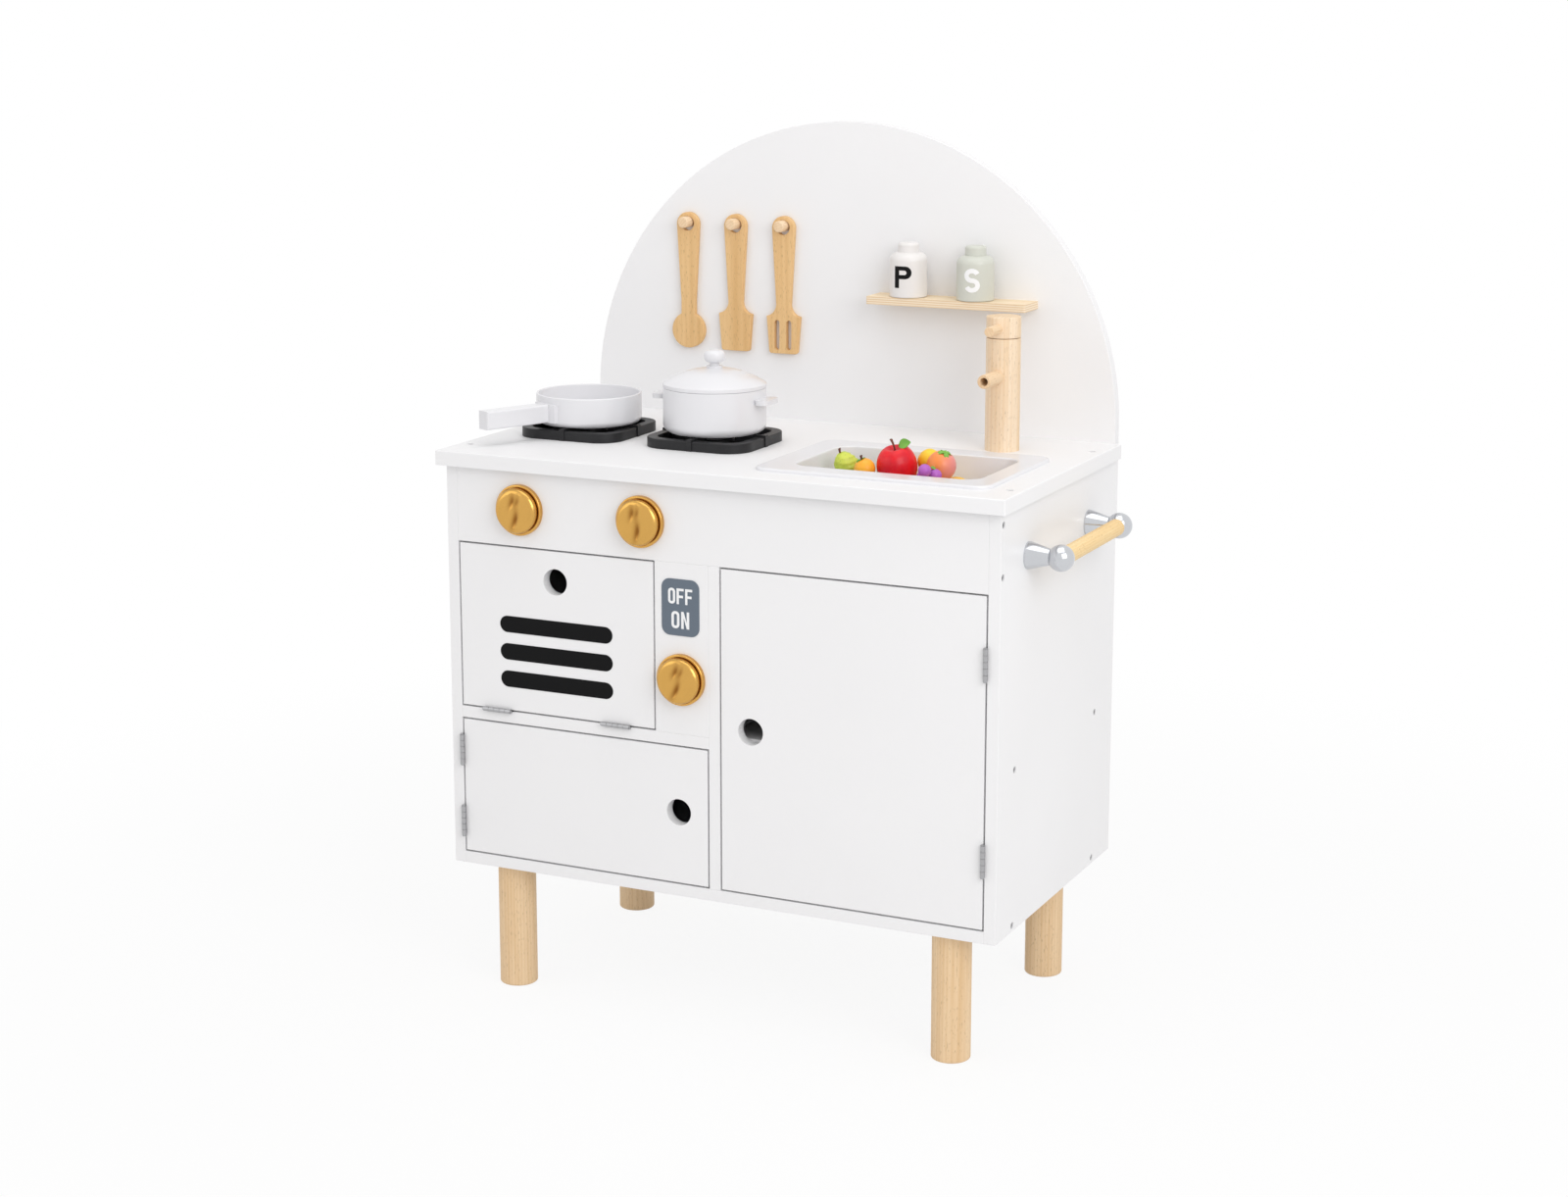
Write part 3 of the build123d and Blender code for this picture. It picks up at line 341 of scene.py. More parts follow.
# %% [markdown]
# Plated metal. Dials and bezels are satin gold, the towel rail's ends are bright chrome, and
# hinges and screws are plain steel. Metal has no colour of its own beyond its tint, so its look
# is the blur of what it mirrors. Tiny waves in the plating keep that blur from looking ideal. On
# the dials, a darker tint in the dents is painted shade.

# %% Metals
def metal(name, colour, gloss, ripple=0.35, dent_shade_tint=None):
    finish = Finish(name, Metallic=1.0)
    place = finish.place()
    haze = finish.noise(place, scale=55, detail=3)
    grain = finish.noise(place, scale=2600, detail=2)
    tone = finish.blend(haze, colour, darker(colour, 0.9))
    # Painted shade: a dial turns towards a darker tint where its stored dent depth is high.
    if dent_shade_tint:
        depth = finish.node("ShaderNodeAttribute", {"attribute_name": "hollow"}, output="Fac")
        tone = finish.blend(depth, tone, dent_shade_tint)
    grime = 0.06
    return finish.wire(Base_Color=tone, Roughness=gloss + (haze - 0.5) * grime,
                       Normal=finish.bump(grain, distance=0.00003, strength=ripple))


gold = metal("satin_gold", tint(218, 168, 90), gloss=0.25)
# The dials' gold carries painted shade in its dents.
dial_gold_painted_shade = metal("dial_gold_painted_shade", tint(216, 168, 90), gloss=0.25, dent_shade_tint=tint(142, 90, 34))
chrome = metal("bright_chrome", tint(208, 210, 214), gloss=0.13, ripple=0.12)
steel = metal("zinc_steel", tint(178, 178, 180), gloss=0.34)
dress(gold, ["knob_bezels", "stove_knob_left", "stove_knob_right", "oven_knob"])
dress(chrome, ["towel_rail_posts"])
dress(steel, ["cabinet_screws", "back_screws", "leg_bolts", "hinge_frame_leaves", "hinge_pins",
              "oven_door_hinge_leaves", "lower_door_hinge_leaves", "cupboard_door_hinge_leaves",
              "oven_door_strike", "lower_door_strike", "cupboard_door_strike"])

# %% [markdown]
# Moulded plastic. The grates are black with a fine spark-eroded skin, the basin and the pans are
# glossy white, and the shakers are semi-gloss. One function makes them all: a mould's texture is
# dots of one size, and gloss varies where fingers have been. The oven door's printed bars are a
# thin film, and the same dots stand for its grain.

# %% Plastics
def plastic(name, colour, gloss, relief=0.2, dots=1400, coat=0.0, drift=0.03, shine=0.5):
    finish = Finish(name, Coat_Roughness=0.12, Specular_IOR_Level=shine)
    place = finish.place()
    cloud = finish.noise(place, scale=16, detail=2)
    texture = finish.noise(place, scale=dots, detail=1)
    wear = 0.08
    return finish.wire(Base_Color=finish.blend(cloud, colour, darker(colour, 1 - drift)),
                       Roughness=gloss + (cloud - 0.5) * wear, Coat_Weight=coat,
                       Normal=finish.bump(texture, distance=0.00005, strength=relief))


white_gloss = plastic("white_gloss", tint(228, 228, 231), 0.3, relief=0.08, dots=300, coat=0.35)
grate_black = plastic("grate_black", tint(34, 34, 36), 0.42, relief=0.55, dots=1700, drift=0.2,
                      shine=0.3)
catch_white = plastic("catch_white", tint(226, 226, 224), 0.45)
shaker_white = plastic("shaker_white", tint(230, 227, 225), 0.34, relief=0.15, dots=500)
shaker_sage = plastic("shaker_sage", tint(205, 207, 197), 0.34, relief=0.15, dots=500)
bar_ink = plastic("bar_ink", tint(20, 20, 21), 0.42, relief=0.25, dots=900, shine=0.08)
dress(white_gloss, ["sink_basin", "saucepan", "saucepan_handle", "cooking_pot", "pot_lid",
                    "pot_lid_knob"])
dress(grate_black, ["burner_grate_left", "burner_grate_right"])
dress(catch_white, ["magnetic_catches"])
dress(shaker_white, ["pepper_shaker"])
dress(shaker_sage, ["salt_shaker"])
dress(bar_ink, ["oven_door_stripes"])

# %% [markdown]
# Building in mesh code. Most of the added pieces are either a flat outline with thickness, or a
# surface that one formula bends. Two helpers cover them: one fills closed loops, holes included,
# through a flat curve with a rounded edge, and one turns a grid of points into a closed skin.

# %% Mesh helpers
facing_user = Matrix(((1, 0, 0, 0), (0, 0, -1, 0), (0, 1, 0, 0), (0, 0, 0, 1)))


def piece(name, mesh, material, body):
    """Links a mesh whose points are already in place, and lets it ride on a body."""
    made = bpy.data.objects.new(name, mesh)
    bpy.context.scene.collection.objects.link(made)
    mesh.materials.clear()
    mesh.materials.append(material)
    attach(made, body)
    print(name, "faces:", len(mesh.polygons))
    return made


def plate(loops, thick, edge):
    """A flat form in X and Y from closed loops, its back at zero, with a rounded front edge."""
    curve = bpy.data.curves.new("plate", "CURVE")
    curve.dimensions = "2D"
    curve.fill_mode = "BOTH"
    curve.extrude = thick / 2 - edge
    curve.bevel_depth = edge
    curve.bevel_resolution = 2
    curve.offset = -edge
    for loop in loops:
        spline = curve.splines.new("POLY")
        spline.points.add(len(loop) - 1)
        for point, (x, y) in zip(spline.points, loop):
            point.co = (x, y, 0, 1)
        spline.use_cyclic_u = True
    holder = bpy.data.objects.new("plate", curve)
    bpy.context.scene.collection.objects.link(holder)
    evaluated = holder.evaluated_get(bpy.context.evaluated_depsgraph_get())
    mesh = bpy.data.meshes.new_from_object(evaluated)
    bpy.data.objects.remove(holder)
    mesh.transform(Matrix.Translation((0, 0, thick / 2)))
    return mesh


def smooth(mesh, sharp_degrees=None):
    """Shades a mesh smoothly, keeping edges sharper than an angle."""
    for face in mesh.polygons:
        face.use_smooth = True
    if sharp_degrees is not None:
        mesh.set_sharp_from_angle(angle=math.radians(sharp_degrees))
    return mesh


def skin(grid):
    """A closed surface through rings of points; each end closes on a point of its own."""
    form = bmesh.new()
    rows = [[form.verts.new(point) for point in row] for row in grid]
    count = len(rows[0])
    for lower, upper in zip(rows, rows[1:]):
        for index in range(count):
            after = (index + 1) % count
            form.faces.new((lower[index], lower[after], upper[after], upper[index]))
    for row, flip in ((rows[0], True), (rows[-1], False)):
        middle = form.verts.new(sum((vertex.co for vertex in row), Vector()) / count)
        for index in range(count):
            after = (index + 1) % count
            corners = (row[index], row[after], middle)
            form.faces.new(tuple(reversed(corners)) if flip else corners)
    bmesh.ops.recalc_face_normals(form, faces=form.faces)
    mesh = bpy.data.meshes.new("skin")
    form.to_mesh(mesh)
    form.free()
    return smooth(mesh)


def joined(meshes):
    """Several meshes as one."""
    form = bmesh.new()
    for mesh in meshes:
        form.from_mesh(mesh)
    mesh = bpy.data.meshes.new("joined")
    form.to_mesh(mesh)
    form.free()
    return mesh


# %% [markdown]
# Letter shapes. The switch panel has a plate that reads OFF and ON, and the shakers have a P and
# an S. Blender's own text would do, but its one typeface is too thin here. Drawn as outlines from
# a height, a width and a stroke, the capitals get the heavy, narrow look of a printed plate.

# %% Letters
def arc(x, y, wide, tall, start, end, steps=14):
    """Points along a stretch of an ellipse, angles in degrees."""
    turn = [math.radians(start + (end - start) * index / steps) for index in range(steps + 1)]
    return [(x + wide * math.cos(angle), y + tall * math.sin(angle)) for angle in turn]


def rounded(width, height, corner):
    """A rectangle with round corners about the middle, as points."""
    x = width / 2 - corner
    y = height / 2 - corner
    points = []
    for index, (side_x, side_y) in enumerate(((x, y), (-x, y), (-x, -y), (x, -y))):
        start = index * 90
        points += arc(side_x, side_y, corner, corner, start, start + 90, steps=8)
    return points


def letter_o(width, height, stroke):
    inner = width - 2 * stroke
    corner_share = 0.46
    return [rounded(width, height, width * corner_share),
            rounded(inner, height - 2 * stroke, inner * corner_share)]


def letter_f(width, height, stroke):
    left, right, top = -width / 2, width / 2, height / 2
    arm = height * 0.06
    return [[(left, -top), (left, top), (right, top), (right, top - stroke),
             (left + stroke, top - stroke), (left + stroke, arm), (right * 0.8, arm),
             (right * 0.8, arm - stroke), (left + stroke, arm - stroke), (left + stroke, -top)]]


def letter_n(width, height, stroke):
    left, right, top = -width / 2, width / 2, height / 2
    lean = height * 0.14
    return [[(left, -top), (left, top), (left + stroke, top), (right - stroke, -lean),
             (right - stroke, top), (right, top), (right, -top), (right - stroke, -top),
             (left + stroke, lean), (left + stroke, -top)]]


def letter_p(width, height, stroke):
    left, top = -width / 2, height / 2
    bowl = height * 0.29
    reach = width - bowl
    outer = [(left, -top), (left, top)]
    outer += arc(left + reach, top - bowl, bowl, bowl, 90, -90)
    outer += [(left + stroke, top - 2 * bowl), (left + stroke, -top)]
    hollow = bowl - stroke * 0.8
    inner = [(left + stroke, top - bowl + hollow)]
    inner += arc(left + reach - stroke * 0.2, top - bowl, hollow, hollow, 90, -90)
    inner += [(left + stroke, top - bowl - hollow)]
    return [outer, inner]


def letter_s(width, height, stroke):
    tall = (height - stroke) / 4
    wide = (width - stroke) / 2
    spine = arc(0, tall, wide, tall, 22, 270, steps=31)
    spine += arc(0, -tall, wide, tall, 90, -158, steps=31)
    left_side, right_side = [], []
    for index, (x, y) in enumerate(spine):
        before = spine[max(index - 1, 0)]
        after = spine[min(index + 1, len(spine) - 1)]
        run = Vector((after[0] - before[0], after[1] - before[1])).normalized() * (stroke / 2)
        left_side.append((x - run.y, y + run.x))
        right_side.append((x + run.y, y - run.x))
    return [left_side + right_side[::-1]]


# %% [markdown]
# The switch plate. On the kitchen it is a slate-blue sticker with round corners and white
# capitals. It gets a real thickness, a soft edge and letters that stand proud of it by the
# thickness of the ink, so that its edge catches light from any side.

# %% Switch plate
def ink(name, colour):
    """Printed film: an even colour with the faint grain of a screen print."""
    return plastic(name, colour, gloss=0.4, relief=0.12, dots=2400, drift=0.05)


panel_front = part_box("switch_panel")[0].y
plate_middle = Vector((-0.0537, panel_front, 0.4285))
plate_width, plate_height, plate_corner = 0.0415, 0.057, 0.009
plate_thick, plate_edge = 0.0006, 0.0002
ink_thick, ink_edge = 0.00025, 0.00005
on_panel = Matrix.Translation(plate_middle) @ facing_user

plate_mesh = plate([rounded(plate_width, plate_height, plate_corner)], plate_thick, plate_edge)
smooth(plate_mesh, sharp_degrees=40)
plate_mesh.transform(on_panel)
piece("switch_plate", plate_mesh, ink("slate_film", tint(97, 109, 122)), "cabinet")


def line_of_type(name, glyphs, pitch, level, width, height, stroke, material):
    """Capitals side by side on the switch plate."""
    meshes = []
    for index, glyph in enumerate(glyphs):
        letter = plate(glyph(width, height, stroke), ink_thick, ink_edge)
        along = (index - (len(glyphs) - 1) / 2) * pitch
        letter.transform(on_panel @ Matrix.Translation((along, level, plate_thick)))
        meshes.append(letter)
    piece(name, joined(meshes), material, "cabinet")


white_ink = ink("white_ink", tint(244, 245, 246))
line_of_type("switch_off", (letter_o, letter_f, letter_f), pitch=0.0094, level=0.0113,
             width=0.0078, height=0.0158, stroke=0.0025, material=white_ink)
line_of_type("switch_on", (letter_o, letter_n), pitch=0.0108, level=-0.0125,
             width=0.0088, height=0.0172, stroke=0.0027, material=white_ink)

# %% [markdown]
# Letters on the jars. A flat letter would float off the round jar at its sides. It is drawn flat,
# cut into narrow strips so that it can bend, and wrapped round the jar's own radius.

# %% Shaker letters
def on_jar(name, jar, glyph, size, turn, rise, material):
    """Wraps a capital of a width, height and stroke round a jar, turned to the right by degrees."""
    low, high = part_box(jar)
    axis_x, axis_y = (low.x + high.x) / 2, (low.y + high.y) / 2
    radius = (high.x - low.x) / 2
    letter_thick, letter_sink = 0.0003, 0.00005
    strip, strips_aside = 0.0008, 14
    form = bmesh.new()
    form.from_mesh(plate(glyph(*size), letter_thick, ink_edge))
    for index in range(-strips_aside, strips_aside + 1):
        bmesh.ops.bisect_plane(form, geom=form.verts[:] + form.edges[:] + form.faces[:],
                               plane_co=(index * strip, 0, 0), plane_no=(1, 0, 0))
    for vertex in form.verts:
        angle = vertex.co.x / radius + math.radians(turn)
        reach = radius + vertex.co.z - letter_sink
        height = low.z + rise + vertex.co.y
        vertex.co = (axis_x + reach * math.sin(angle), axis_y - reach * math.cos(angle), height)
    mesh = bpy.data.meshes.new(name)
    form.to_mesh(mesh)
    form.free()
    piece(name, mesh, material, jar)


on_jar("pepper_letter", "pepper_shaker", letter_p, size=(0.0185, 0.0225, 0.0052), turn=5,
       rise=0.0215, material=bar_ink)
on_jar("salt_letter", "salt_shaker", letter_s, size=(0.0165, 0.0245, 0.0048), turn=11,
       rise=0.0218, material=white_ink)

# %% [markdown]
# Dials. Each is a plated disc with a soft shoulder and a leaning grip ridge between hollows.
# Cutting it from solids leaves hard lines, so the face is a height over a round grid: a shoulder
# that rolls off, minus smooth dents. The dents look darker than the rest on the real dials, where
# shade gathers in them. So each point also carries how deep it lies, and the finish darkens by
# that: painted shade in the gold.

# %% Dials
dial_low, dial_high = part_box("stove_knob_left")
dial_radius = (dial_high.x - dial_low.x) / 2
dial_thick = 0.0095
shoulder_share, roll_share = 0.27, 0.75


def smoothstep(low, high, value):
    share = min(max((value - low) / (high - low), 0), 1)
    return share * share * (3 - 2 * share)


# Each dent: across, along, half its width, half its length (shares of the radius), depth in metres.
hollows = ((-0.16, 0.42, 0.13, 0.3, 0.0016), (0.1, 0.44, 0.1, 0.26, 0.0011),
           (0.07, -0.36, 0.13, 0.42, 0.0018))
hollow_lean, hollow_curl = 0.16, 0.22
deepest = 0.0018


def dent_depth(across, along):
    """How deep the dents are at a place, both given as shares of the radius."""
    depth = 0
    for middle, level, half_width, half_length, deep in hollows:
        beyond = along - level
        aside = (across - middle - hollow_lean * beyond + hollow_curl * beyond ** 2) / half_width
        depth += deep * math.exp(-aside ** 2 - (beyond / half_length) ** 2)
    return depth


def dial_height(across, along):
    """How far the face stands out at a place."""
    roll = max(0.0, (math.hypot(across, along) - (1 - shoulder_share)) / shoulder_share)
    drop = dial_radius * shoulder_share * roll_share * (1 - math.sqrt(max(0.0, 1 - roll ** 2)))
    return dial_thick - drop - dent_depth(across, along)


def dial(name, lean):
    """A sculpted dial in place of the plain one; lean turns its face, and 90 is upright."""
    low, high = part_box(name)
    middle = Vector(((low.x + high.x) / 2, dial_low.y + dial_thick, (low.z + high.z) / 2))
    turn = math.radians(lean - 90)
    spokes, rings, back_share = 120, 46, 0.98
    rows = []
    for ring in range(rings, 0, -1):
        out = math.sin(math.pi / 2 * ring / rings)
        row = []
        for spoke in range(spokes):
            angle = math.tau * spoke / spokes
            across, along = out * math.cos(angle), out * math.sin(angle)
            row.append((dial_radius * across, dial_radius * along, dial_height(across, along)))
        rows.append(row)
    back = [[(x * share, y * share, 0) for x, y, z in rows[0]] for share in (back_share, 1)]
    mesh = skin(back + rows)
    # Each point's depth in the dents, from 0 to 1, sets how much painted shade the gold gets there.
    tone = mesh.attributes.new("hollow", "FLOAT", "POINT")
    for vertex in mesh.vertices:
        depth = dent_depth(vertex.co.x / dial_radius, vertex.co.y / dial_radius)
        tone.data[vertex.index].value = min(1.0, depth / deepest)
    mesh.transform(Matrix.Translation(middle) @ facing_user @ Matrix.Rotation(turn, 4, "Z"))
    smooth(mesh, sharp_degrees=55)
    made = piece(name + "_dial", mesh, dial_gold_painted_shade, name)
    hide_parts(name)


for dial_name, dial_lean in (("stove_knob_left", 84), ("stove_knob_right", 92), ("oven_knob", 76)):
    dial(dial_name, dial_lean)

# %% [markdown]
# Play fruit. The bowl holds moulded fruit, glossy and brightly tinted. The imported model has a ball
# for each, resting on the bowl's floor or on the fruit below, so each fruit is drawn round its own
# ball and stays in its place. All balls come as one mesh. They could be listed here by hand, but
# walking along the mesh's edges finds them, because no edge leads from one ball to the next.

# %% Where each fruit lies
def fruit_balls():
    """Middle and radius of every ball in the bowl, from the separate islands of one mesh."""
    form = bmesh.new()
    form.from_mesh(nodes["toy_fruit"].data)
    seen, balls = set(), []
    for start in form.verts:
        if start in seen:
            continue
        island, waiting = [], [start]
        seen.add(start)
        while waiting:
            vertex = waiting.pop()
            island.append(vertex.co)
            for edge in vertex.link_edges:
                other = edge.other_vert(vertex)
                if other not in seen:
                    seen.add(other)
                    waiting.append(other)
        low = Vector([min(point[axis] for point in island) for axis in range(3)])
        high = Vector([max(point[axis] for point in island) for axis in range(3)])
        balls.append(((low + high) / 2, (high.z - low.z) / 2))
    form.free()
    return balls


balls = fruit_balls()
basin_low, basin_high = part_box("sink_basin")
bowl_length, bowl_width, bowl_shift = 0.194, 0.124, 0.004
bowl_middle = Vector(((basin_low.x + basin_high.x) / 2 + bowl_shift,
                      (basin_low.y + basin_high.y) / 2))
print("balls in the bowl:", len(balls))


def ball_near(across, back):
    """The ball nearest to a place given as shares of the bowl's half length and half width."""
    place = bowl_middle + Vector((across * (bowl_length / 2), back * (bowl_width / 2)))
    return min(balls, key=lambda ball: (ball[0].xy - place).length)


# %% [markdown]
# The form of a fruit. An apple is dented at both ends, a lemon has tips, and a peach has a groove.
# Each could be sculpted by hand. Here a ring of points stands at each height, like on a lathe, and
# one formula dents the ends, draws out the tips, narrows the top or raises lobes and knobs, so that
# every fruit is a line of numbers. A stem is a bent tube, and a leaf is a tube pressed flat.

# %% Fruit forms
def fruit_form(radius, dent=0.0, tip=0.0, lobes=0, lobe=0.0, taper=0.0, knobs=0.0, block=1.0):
    """A closed form about the middle, never wider than its radius; the stem is at the top."""
    rings, spokes = 30, 44
    top_dent, foot_dent = (1, 0.3), (-0.6, 0.25)
    rows = []
    for ring in range(1, rings):
        polar = math.pi * ring / rings
        height, wide = math.cos(polar), math.sin(polar) ** block
        wide *= 1 - taper * smoothstep(-0.6, 1, height)
        depth, width = top_dent if height > 0 else foot_dent
        height -= dent * (depth * math.exp(-(wide / width) ** 2))
        height = height * (1 - tip) + tip * height * abs(height) ** 0.5
        row = []
        for spoke in range(spokes):
            turn = math.tau * spoke / spokes
            out = wide * (1 - lobe * (0.5 - 0.5 * math.cos(lobes * turn)))
            out *= 1 - knobs * (0.5 + 0.5 * math.sin(5 * turn + 9 * height) * math.sin(7 * polar))
            row.append((radius * out * math.cos(turn), radius * out * math.sin(turn),
                        radius * height))
        rows.append(row)
    return skin(rows)


def stem_form(foot, length, thick):
    """A short bent stem that starts at the foot's height and widens to a cut end."""
    rings, spokes = 8, 12
    turns = [math.tau * spoke / spokes for spoke in range(spokes)]
    rows = []
    for ring in range(rings + 1):
        share = ring / rings
        reach = thick * (0.8 + 0.6 * share ** 3)
        bend = length * 0.28 * share ** 2
        height = foot + length * share
        rows.append([(bend + reach * math.cos(turn), reach * math.sin(turn), height)
                     for turn in turns])
    return skin(rows)


def leaf_form(length, width, droop, rise):
    """A pointed leaf with a fold along its middle, thin but closed."""
    steps, half, leaf_thick = 12, 5, 0.0007
    top, under = [], []
    for step in range(steps + 1):
        share = step / steps
        reach = width / 2 * math.sin(math.pi * min(share * 0.96 + 0.02, 1)) ** 0.8
        line, back = [], []
        for index in range(-half, half + 1):
            aside = index / half
            lift = rise + droop * share * (0.6 - share) * length + 0.25 * reach * aside ** 2
            line.append((length * share, reach * aside, lift))
            back.append((length * share, reach * aside, lift - leaf_thick))
        top.append(line)
        under.append(back[::-1])
    return skin([line + back for line, back in zip(top, under)])


# %% [markdown]
# The skin of a fruit. One tint runs into another in soft clouds. On the peach the tints change with
# height, and on the apricot from left to right. The apple and the limes have freckles. A painted
# picture could hold all that, but each fruit would have to be unwrapped for it.

# %% Fruit skins
def fruit_skin(name, main, second, speckle=None, coat=0.15, gloss=0.34, scale=45, span=None,
               span_axis="Z"):
    """Moulded fruit whose main tint runs into a second one; span is where, along an axis."""
    finish = Finish(name, Coat_Roughness=0.1, Specular_IOR_Level=0.28)
    place = finish.place()
    cloud = finish.noise(place, scale, detail=3, roughness=0.55)
    if span:
        rising = finish.step(finish.part(place, span_axis), *span)
        mix = finish.step(rising + (cloud - 0.5) * 0.9, 0.3, 0.75)
    else:
        mix = finish.step(cloud, 0.35, 0.68)
    tone = finish.blend(mix, main, second)
    if speckle:
        dots = finish.step(finish.noise(place, scale=900, detail=1), 0.66, 0.72)
        tone = finish.blend(dots * 0.7, tone, speckle)
    pores = finish.noise(place, scale=1300, detail=2)
    return finish.wire(Base_Color=tone, Roughness=gloss + 0.1 * cloud, Coat_Weight=coat,
                       Normal=finish.bump(pores, distance=0.00012, strength=0.3))


leaf_green = fruit_skin("leaf_green", tint(132, 186, 76), tint(88, 156, 60), coat=0.1, gloss=0.42)
stem_brown = fruit_skin("stem_brown", tint(112, 62, 44), tint(82, 46, 34), coat=0.05, gloss=0.5)
apple_red = fruit_skin("apple_red", tint(234, 22, 34), tint(208, 14, 38), tint(240, 90, 70))
peach_span_down = (0.595, 0.56)
peach_blush = fruit_skin("peach_blush", tint(250, 186, 90), tint(238, 112, 92), scale=30,
                         span=peach_span_down)
lemon_yellow = fruit_skin("lemon_yellow", tint(252, 214, 56), tint(248, 190, 42))
orange_zest = fruit_skin("orange_zest", tint(252, 188, 62), tint(248, 166, 48))
apricot_ball = ball_near(0.39, -0.1)
apricot_span = (apricot_ball[0].x - 0.016, apricot_ball[0].x + 0.022)
apricot_warm = fruit_skin("apricot_warm", tint(246, 146, 76), tint(230, 140, 132), scale=30,
                          span=apricot_span, span_axis="X")
plum_purple = fruit_skin("plum_purple", tint(180, 98, 192), tint(144, 68, 168))
lime_green = fruit_skin("pear_lime", tint(208, 220, 88), tint(170, 198, 66), tint(126, 160, 50))
print("the apricot changes tint over x =", [round(value, 4) for value in apricot_span])

# %% [markdown]
# Filling the bowl. Fruit lies as it fell, so most of it is tipped before it goes round its ball.
# Stems and leaves are tipped too, the grapes' leaves only roughly like the grapes. The apple's leaf
# stands upright on the real one, so it is placed by itself. All lemons are joined into one piece,
# and so are the limes, the grapes, the stems and the leaves.

# %% Fruit in the bowl
def lay(mesh, ball, lean=(0, 0), turn=0):
    """Tips a fruit by lean degrees about X and Y, turns it, and puts it round its ball."""
    lean_x, lean_y, turned = [Matrix.Rotation(math.radians(angle), 4, axis)
                              for angle, axis in zip((*lean, turn), "XYZ")]
    mesh.transform(Matrix.Translation(ball[0]) @ (lean_x @ lean_y) @ turned)
    return mesh


def fruit(name, mesh, material):
    made = piece(name, mesh, material, "toy_fruit")
    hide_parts("toy_fruit")


stems, leaves = [], []


def crown(ball, lean, turn, stem=0.0, leaf=0.0, count=1, wide=0.45, spread=0):
    """A stem and leaves on top of a fruit, tipped by lean degrees about X and Y."""
    radius, stem_level, leaf_level = ball[1], 0.72, 0.93
    if stem:
        stems.append(lay(stem_form(radius * stem_level, stem, thick=0.0011), ball, lean, turn))
    for index in range(count if leaf else 0):
        mesh = leaf_form(leaf, leaf * wide, droop=1.1, rise=radius * leaf_level)
        leaves.append(lay(mesh, ball, lean, turn + spread * index))


apple_ball = ball_near(-0.09, -0.08)
apple_lean = (12, -4)
apple_mesh = fruit_form(apple_ball[1], dent=0.34, lobes=5, lobe=0.05, block=0.78)
fruit("apple", lay(apple_mesh, apple_ball, apple_lean), apple_red)
crown(apple_ball, apple_lean, turn=160, stem=0.012)
apple_leaf = leaf_form(length=0.013, width=0.0105, droop=0.2, rise=0)
leaf_foot = apple_ball[0] + Vector((0.002, -0.002, apple_ball[1] * 0.95))
apple_leaf.transform(Matrix.Translation(leaf_foot)
                     @ Matrix.Rotation(math.radians(-24), 4, "Y")
                     @ Matrix.Rotation(math.radians(62), 4, "X"))
leaves.append(apple_leaf)

peach_ball = ball_near(0.13, -0.39)
peach_lean = (20, -10)
peach_mesh = fruit_form(peach_ball[1], dent=0.12, lobes=1, lobe=0.05)
fruit("peach", lay(peach_mesh, peach_ball, peach_lean), peach_blush)
crown(peach_ball, peach_lean, turn=0, leaf=0.010, count=5, wide=0.5, spread=72)

lemon_places = ((-0.14, 0.39), (0.52, 0.06), (0.23, 0.48), (0.48, -0.55), (0.18, 0.27))
lemon_meshes = [lay(fruit_form(ball[1], tip=0.35, taper=0.12), ball, (70, 25 * index), 30 * index)
                for index, ball in enumerate(ball_near(*place) for place in lemon_places)]
fruit("lemons", joined(lemon_meshes), lemon_yellow)

apricot_lean = (10, 20)
apricot_mesh = fruit_form(apricot_ball[1], dent=0.1, lobes=1, lobe=0.06)
fruit("apricot", lay(apricot_mesh, apricot_ball, apricot_lean), apricot_warm)
crown(apricot_ball, apricot_lean, turn=40, leaf=0.009, count=4, wide=0.55, spread=90)

orange_ball = ball_near(-0.38, -0.32)
orange_lean = (15, -15)
fruit("orange", lay(fruit_form(orange_ball[1], dent=0.1), orange_ball, orange_lean), orange_zest)
crown(orange_ball, orange_lean, turn=80, stem=0.006, leaf=0.007, count=2, spread=140)

plum_ball = ball_near(-0.34, -0.34)
fruit("plum", lay(fruit_form(plum_ball[1], dent=0.08, lobes=1, lobe=0.05), plum_ball), plum_purple)

front_lime, back_lime = ball_near(-0.72, 0.16), ball_near(-0.68, 0.35)
front_lean, back_lean = (25, -20), (60, 30)
lime_meshes = [lay(fruit_form(ball[1], taper=0.16, knobs=0.15), ball, lean)
               for ball, lean in ((front_lime, front_lean), (back_lime, back_lean))]
fruit("limes", joined(lime_meshes), lime_green)
crown(front_lime, front_lean, turn=60, stem=0.008)

grape_meshes = []
for index, place in enumerate(((0.28, -0.42), (0.42, -0.45), (0.35, -0.61))):
    ball = ball_near(*place)
    grape_meshes.append(lay(fruit_form(ball[1], dent=0.05), ball, (20 * index, 10)))
    crown(ball, (10, 10 * index), turn=50 + 120 * index, leaf=0.011 if index < 2 else 0)
fruit("grapes", joined(grape_meshes), plum_purple)
fruit("fruit_stems", joined(stems), stem_brown)
fruit("fruit_leaves", joined(leaves), leaf_green)

# %% [markdown]
# Light. A studio with a white sweep lights the kitchen from everywhere. Soft boxes add a stronger
# light from the right, one from above and a weak one from the left. The background is white because
# the floor and the world say so to the camera, not because more light falls on the kitchen. The
# floor keeps a little of its soft shadow near the kitchen, and is plain white further out.

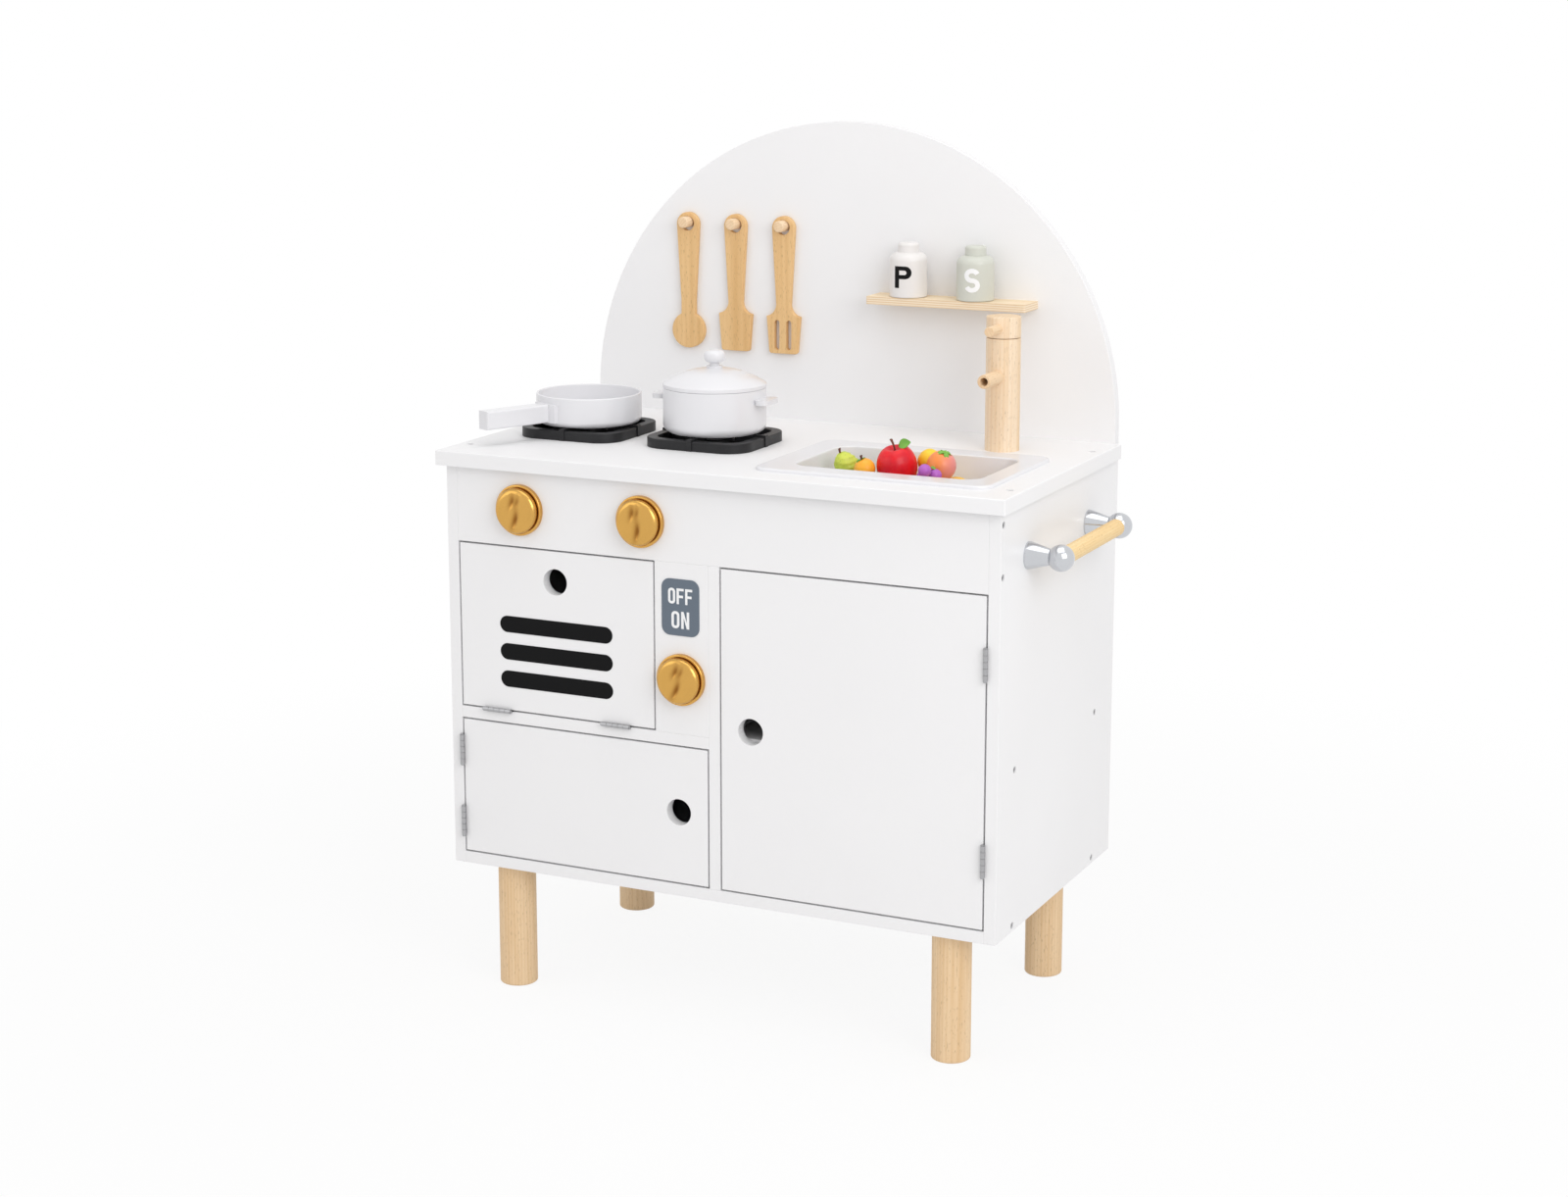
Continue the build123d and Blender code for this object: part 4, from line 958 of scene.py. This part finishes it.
# %% Floor and world
def studio_world(ambient):
    """White where it is looked at, and a dimmer, faintly warm light where it only shines."""
    world = bpy.data.worlds.new("studio")
    world.use_nodes = True
    sky = Nodes(world.node_tree)
    sky.tree.nodes.remove(sky.tree.nodes["Background"])
    warm_white = (1, 0.985, 0.98, 1)
    light = sky.node("ShaderNodeBackground", None, {"Color": warm_white, "Strength": ambient})
    white = sky.node("ShaderNodeBackground", None, {"Color": (1, 1, 1, 1), "Strength": 1.0})
    mixed = sky.node("ShaderNodeMixShader", None, {0: sky.looking(), 1: light, 2: white})
    sky.feed(sky.tree.nodes["World Output"].inputs["Surface"], mixed)
    bpy.context.scene.world = world


def floor_finish(shadow_share):
    """Pale floor that keeps a share of its real shading near the kitchen."""
    finish = Finish("studio_floor", Roughness=0.9, Base_Color=(0.82, 0.82, 0.82, 1))
    shadow_reach, plain_from = 0.5, 1.5
    plain = finish.step(finish.length(finish.place()), shadow_reach, plain_from)
    white = finish.node("ShaderNodeEmission", None, {"Color": (1, 1, 1, 1), "Strength": 1.0})
    share = finish.looking() * (1 - (1 - plain) * shadow_share)
    lit = Wire(finish, finish.shader.outputs[0])
    mixed = finish.node("ShaderNodeMixShader", None, {0: share, 1: lit, 2: white})
    finish.feed(finish.tree.nodes["Material Output"].inputs["Surface"], mixed)
    return finish.material


def studio_floor():
    form = bmesh.new()
    bmesh.ops.create_circle(form, cap_ends=True, segments=96, radius=12)
    mesh = bpy.data.meshes.new("studio_floor")
    form.to_mesh(mesh)
    form.free()
    floor = bpy.data.objects.new("studio_floor", mesh)
    bpy.context.scene.collection.objects.link(floor)
    mesh.materials.append(floor_finish(shadow_share=0.12))


def soft_box(name, place, aim, size, power):
    lamp = bpy.data.objects.new(name, bpy.data.lights.new(name, "AREA"))
    lamp.data.size = size
    lamp.data.energy = power
    lamp.location = place
    lamp.rotation_euler = (Vector(aim) - Vector(place)).to_track_quat("-Z", "Y").to_euler()
    bpy.context.scene.collection.objects.link(lamp)
    print(name, "watts:", power)


studio_world(ambient=0.68)
studio_floor()
soft_box("right_box", (2.0, -1.5, 1.7), aim=(0, 0, 0.5), size=1.6, power=27)
soft_box("left_box", (-2.0, -2.0, 1.5), aim=(0, 0, 0.5), size=1.8, power=8)
soft_box("top_box", (0.2, -0.3, 2.7), aim=(0, 0, 0.6), size=2.0, power=14)
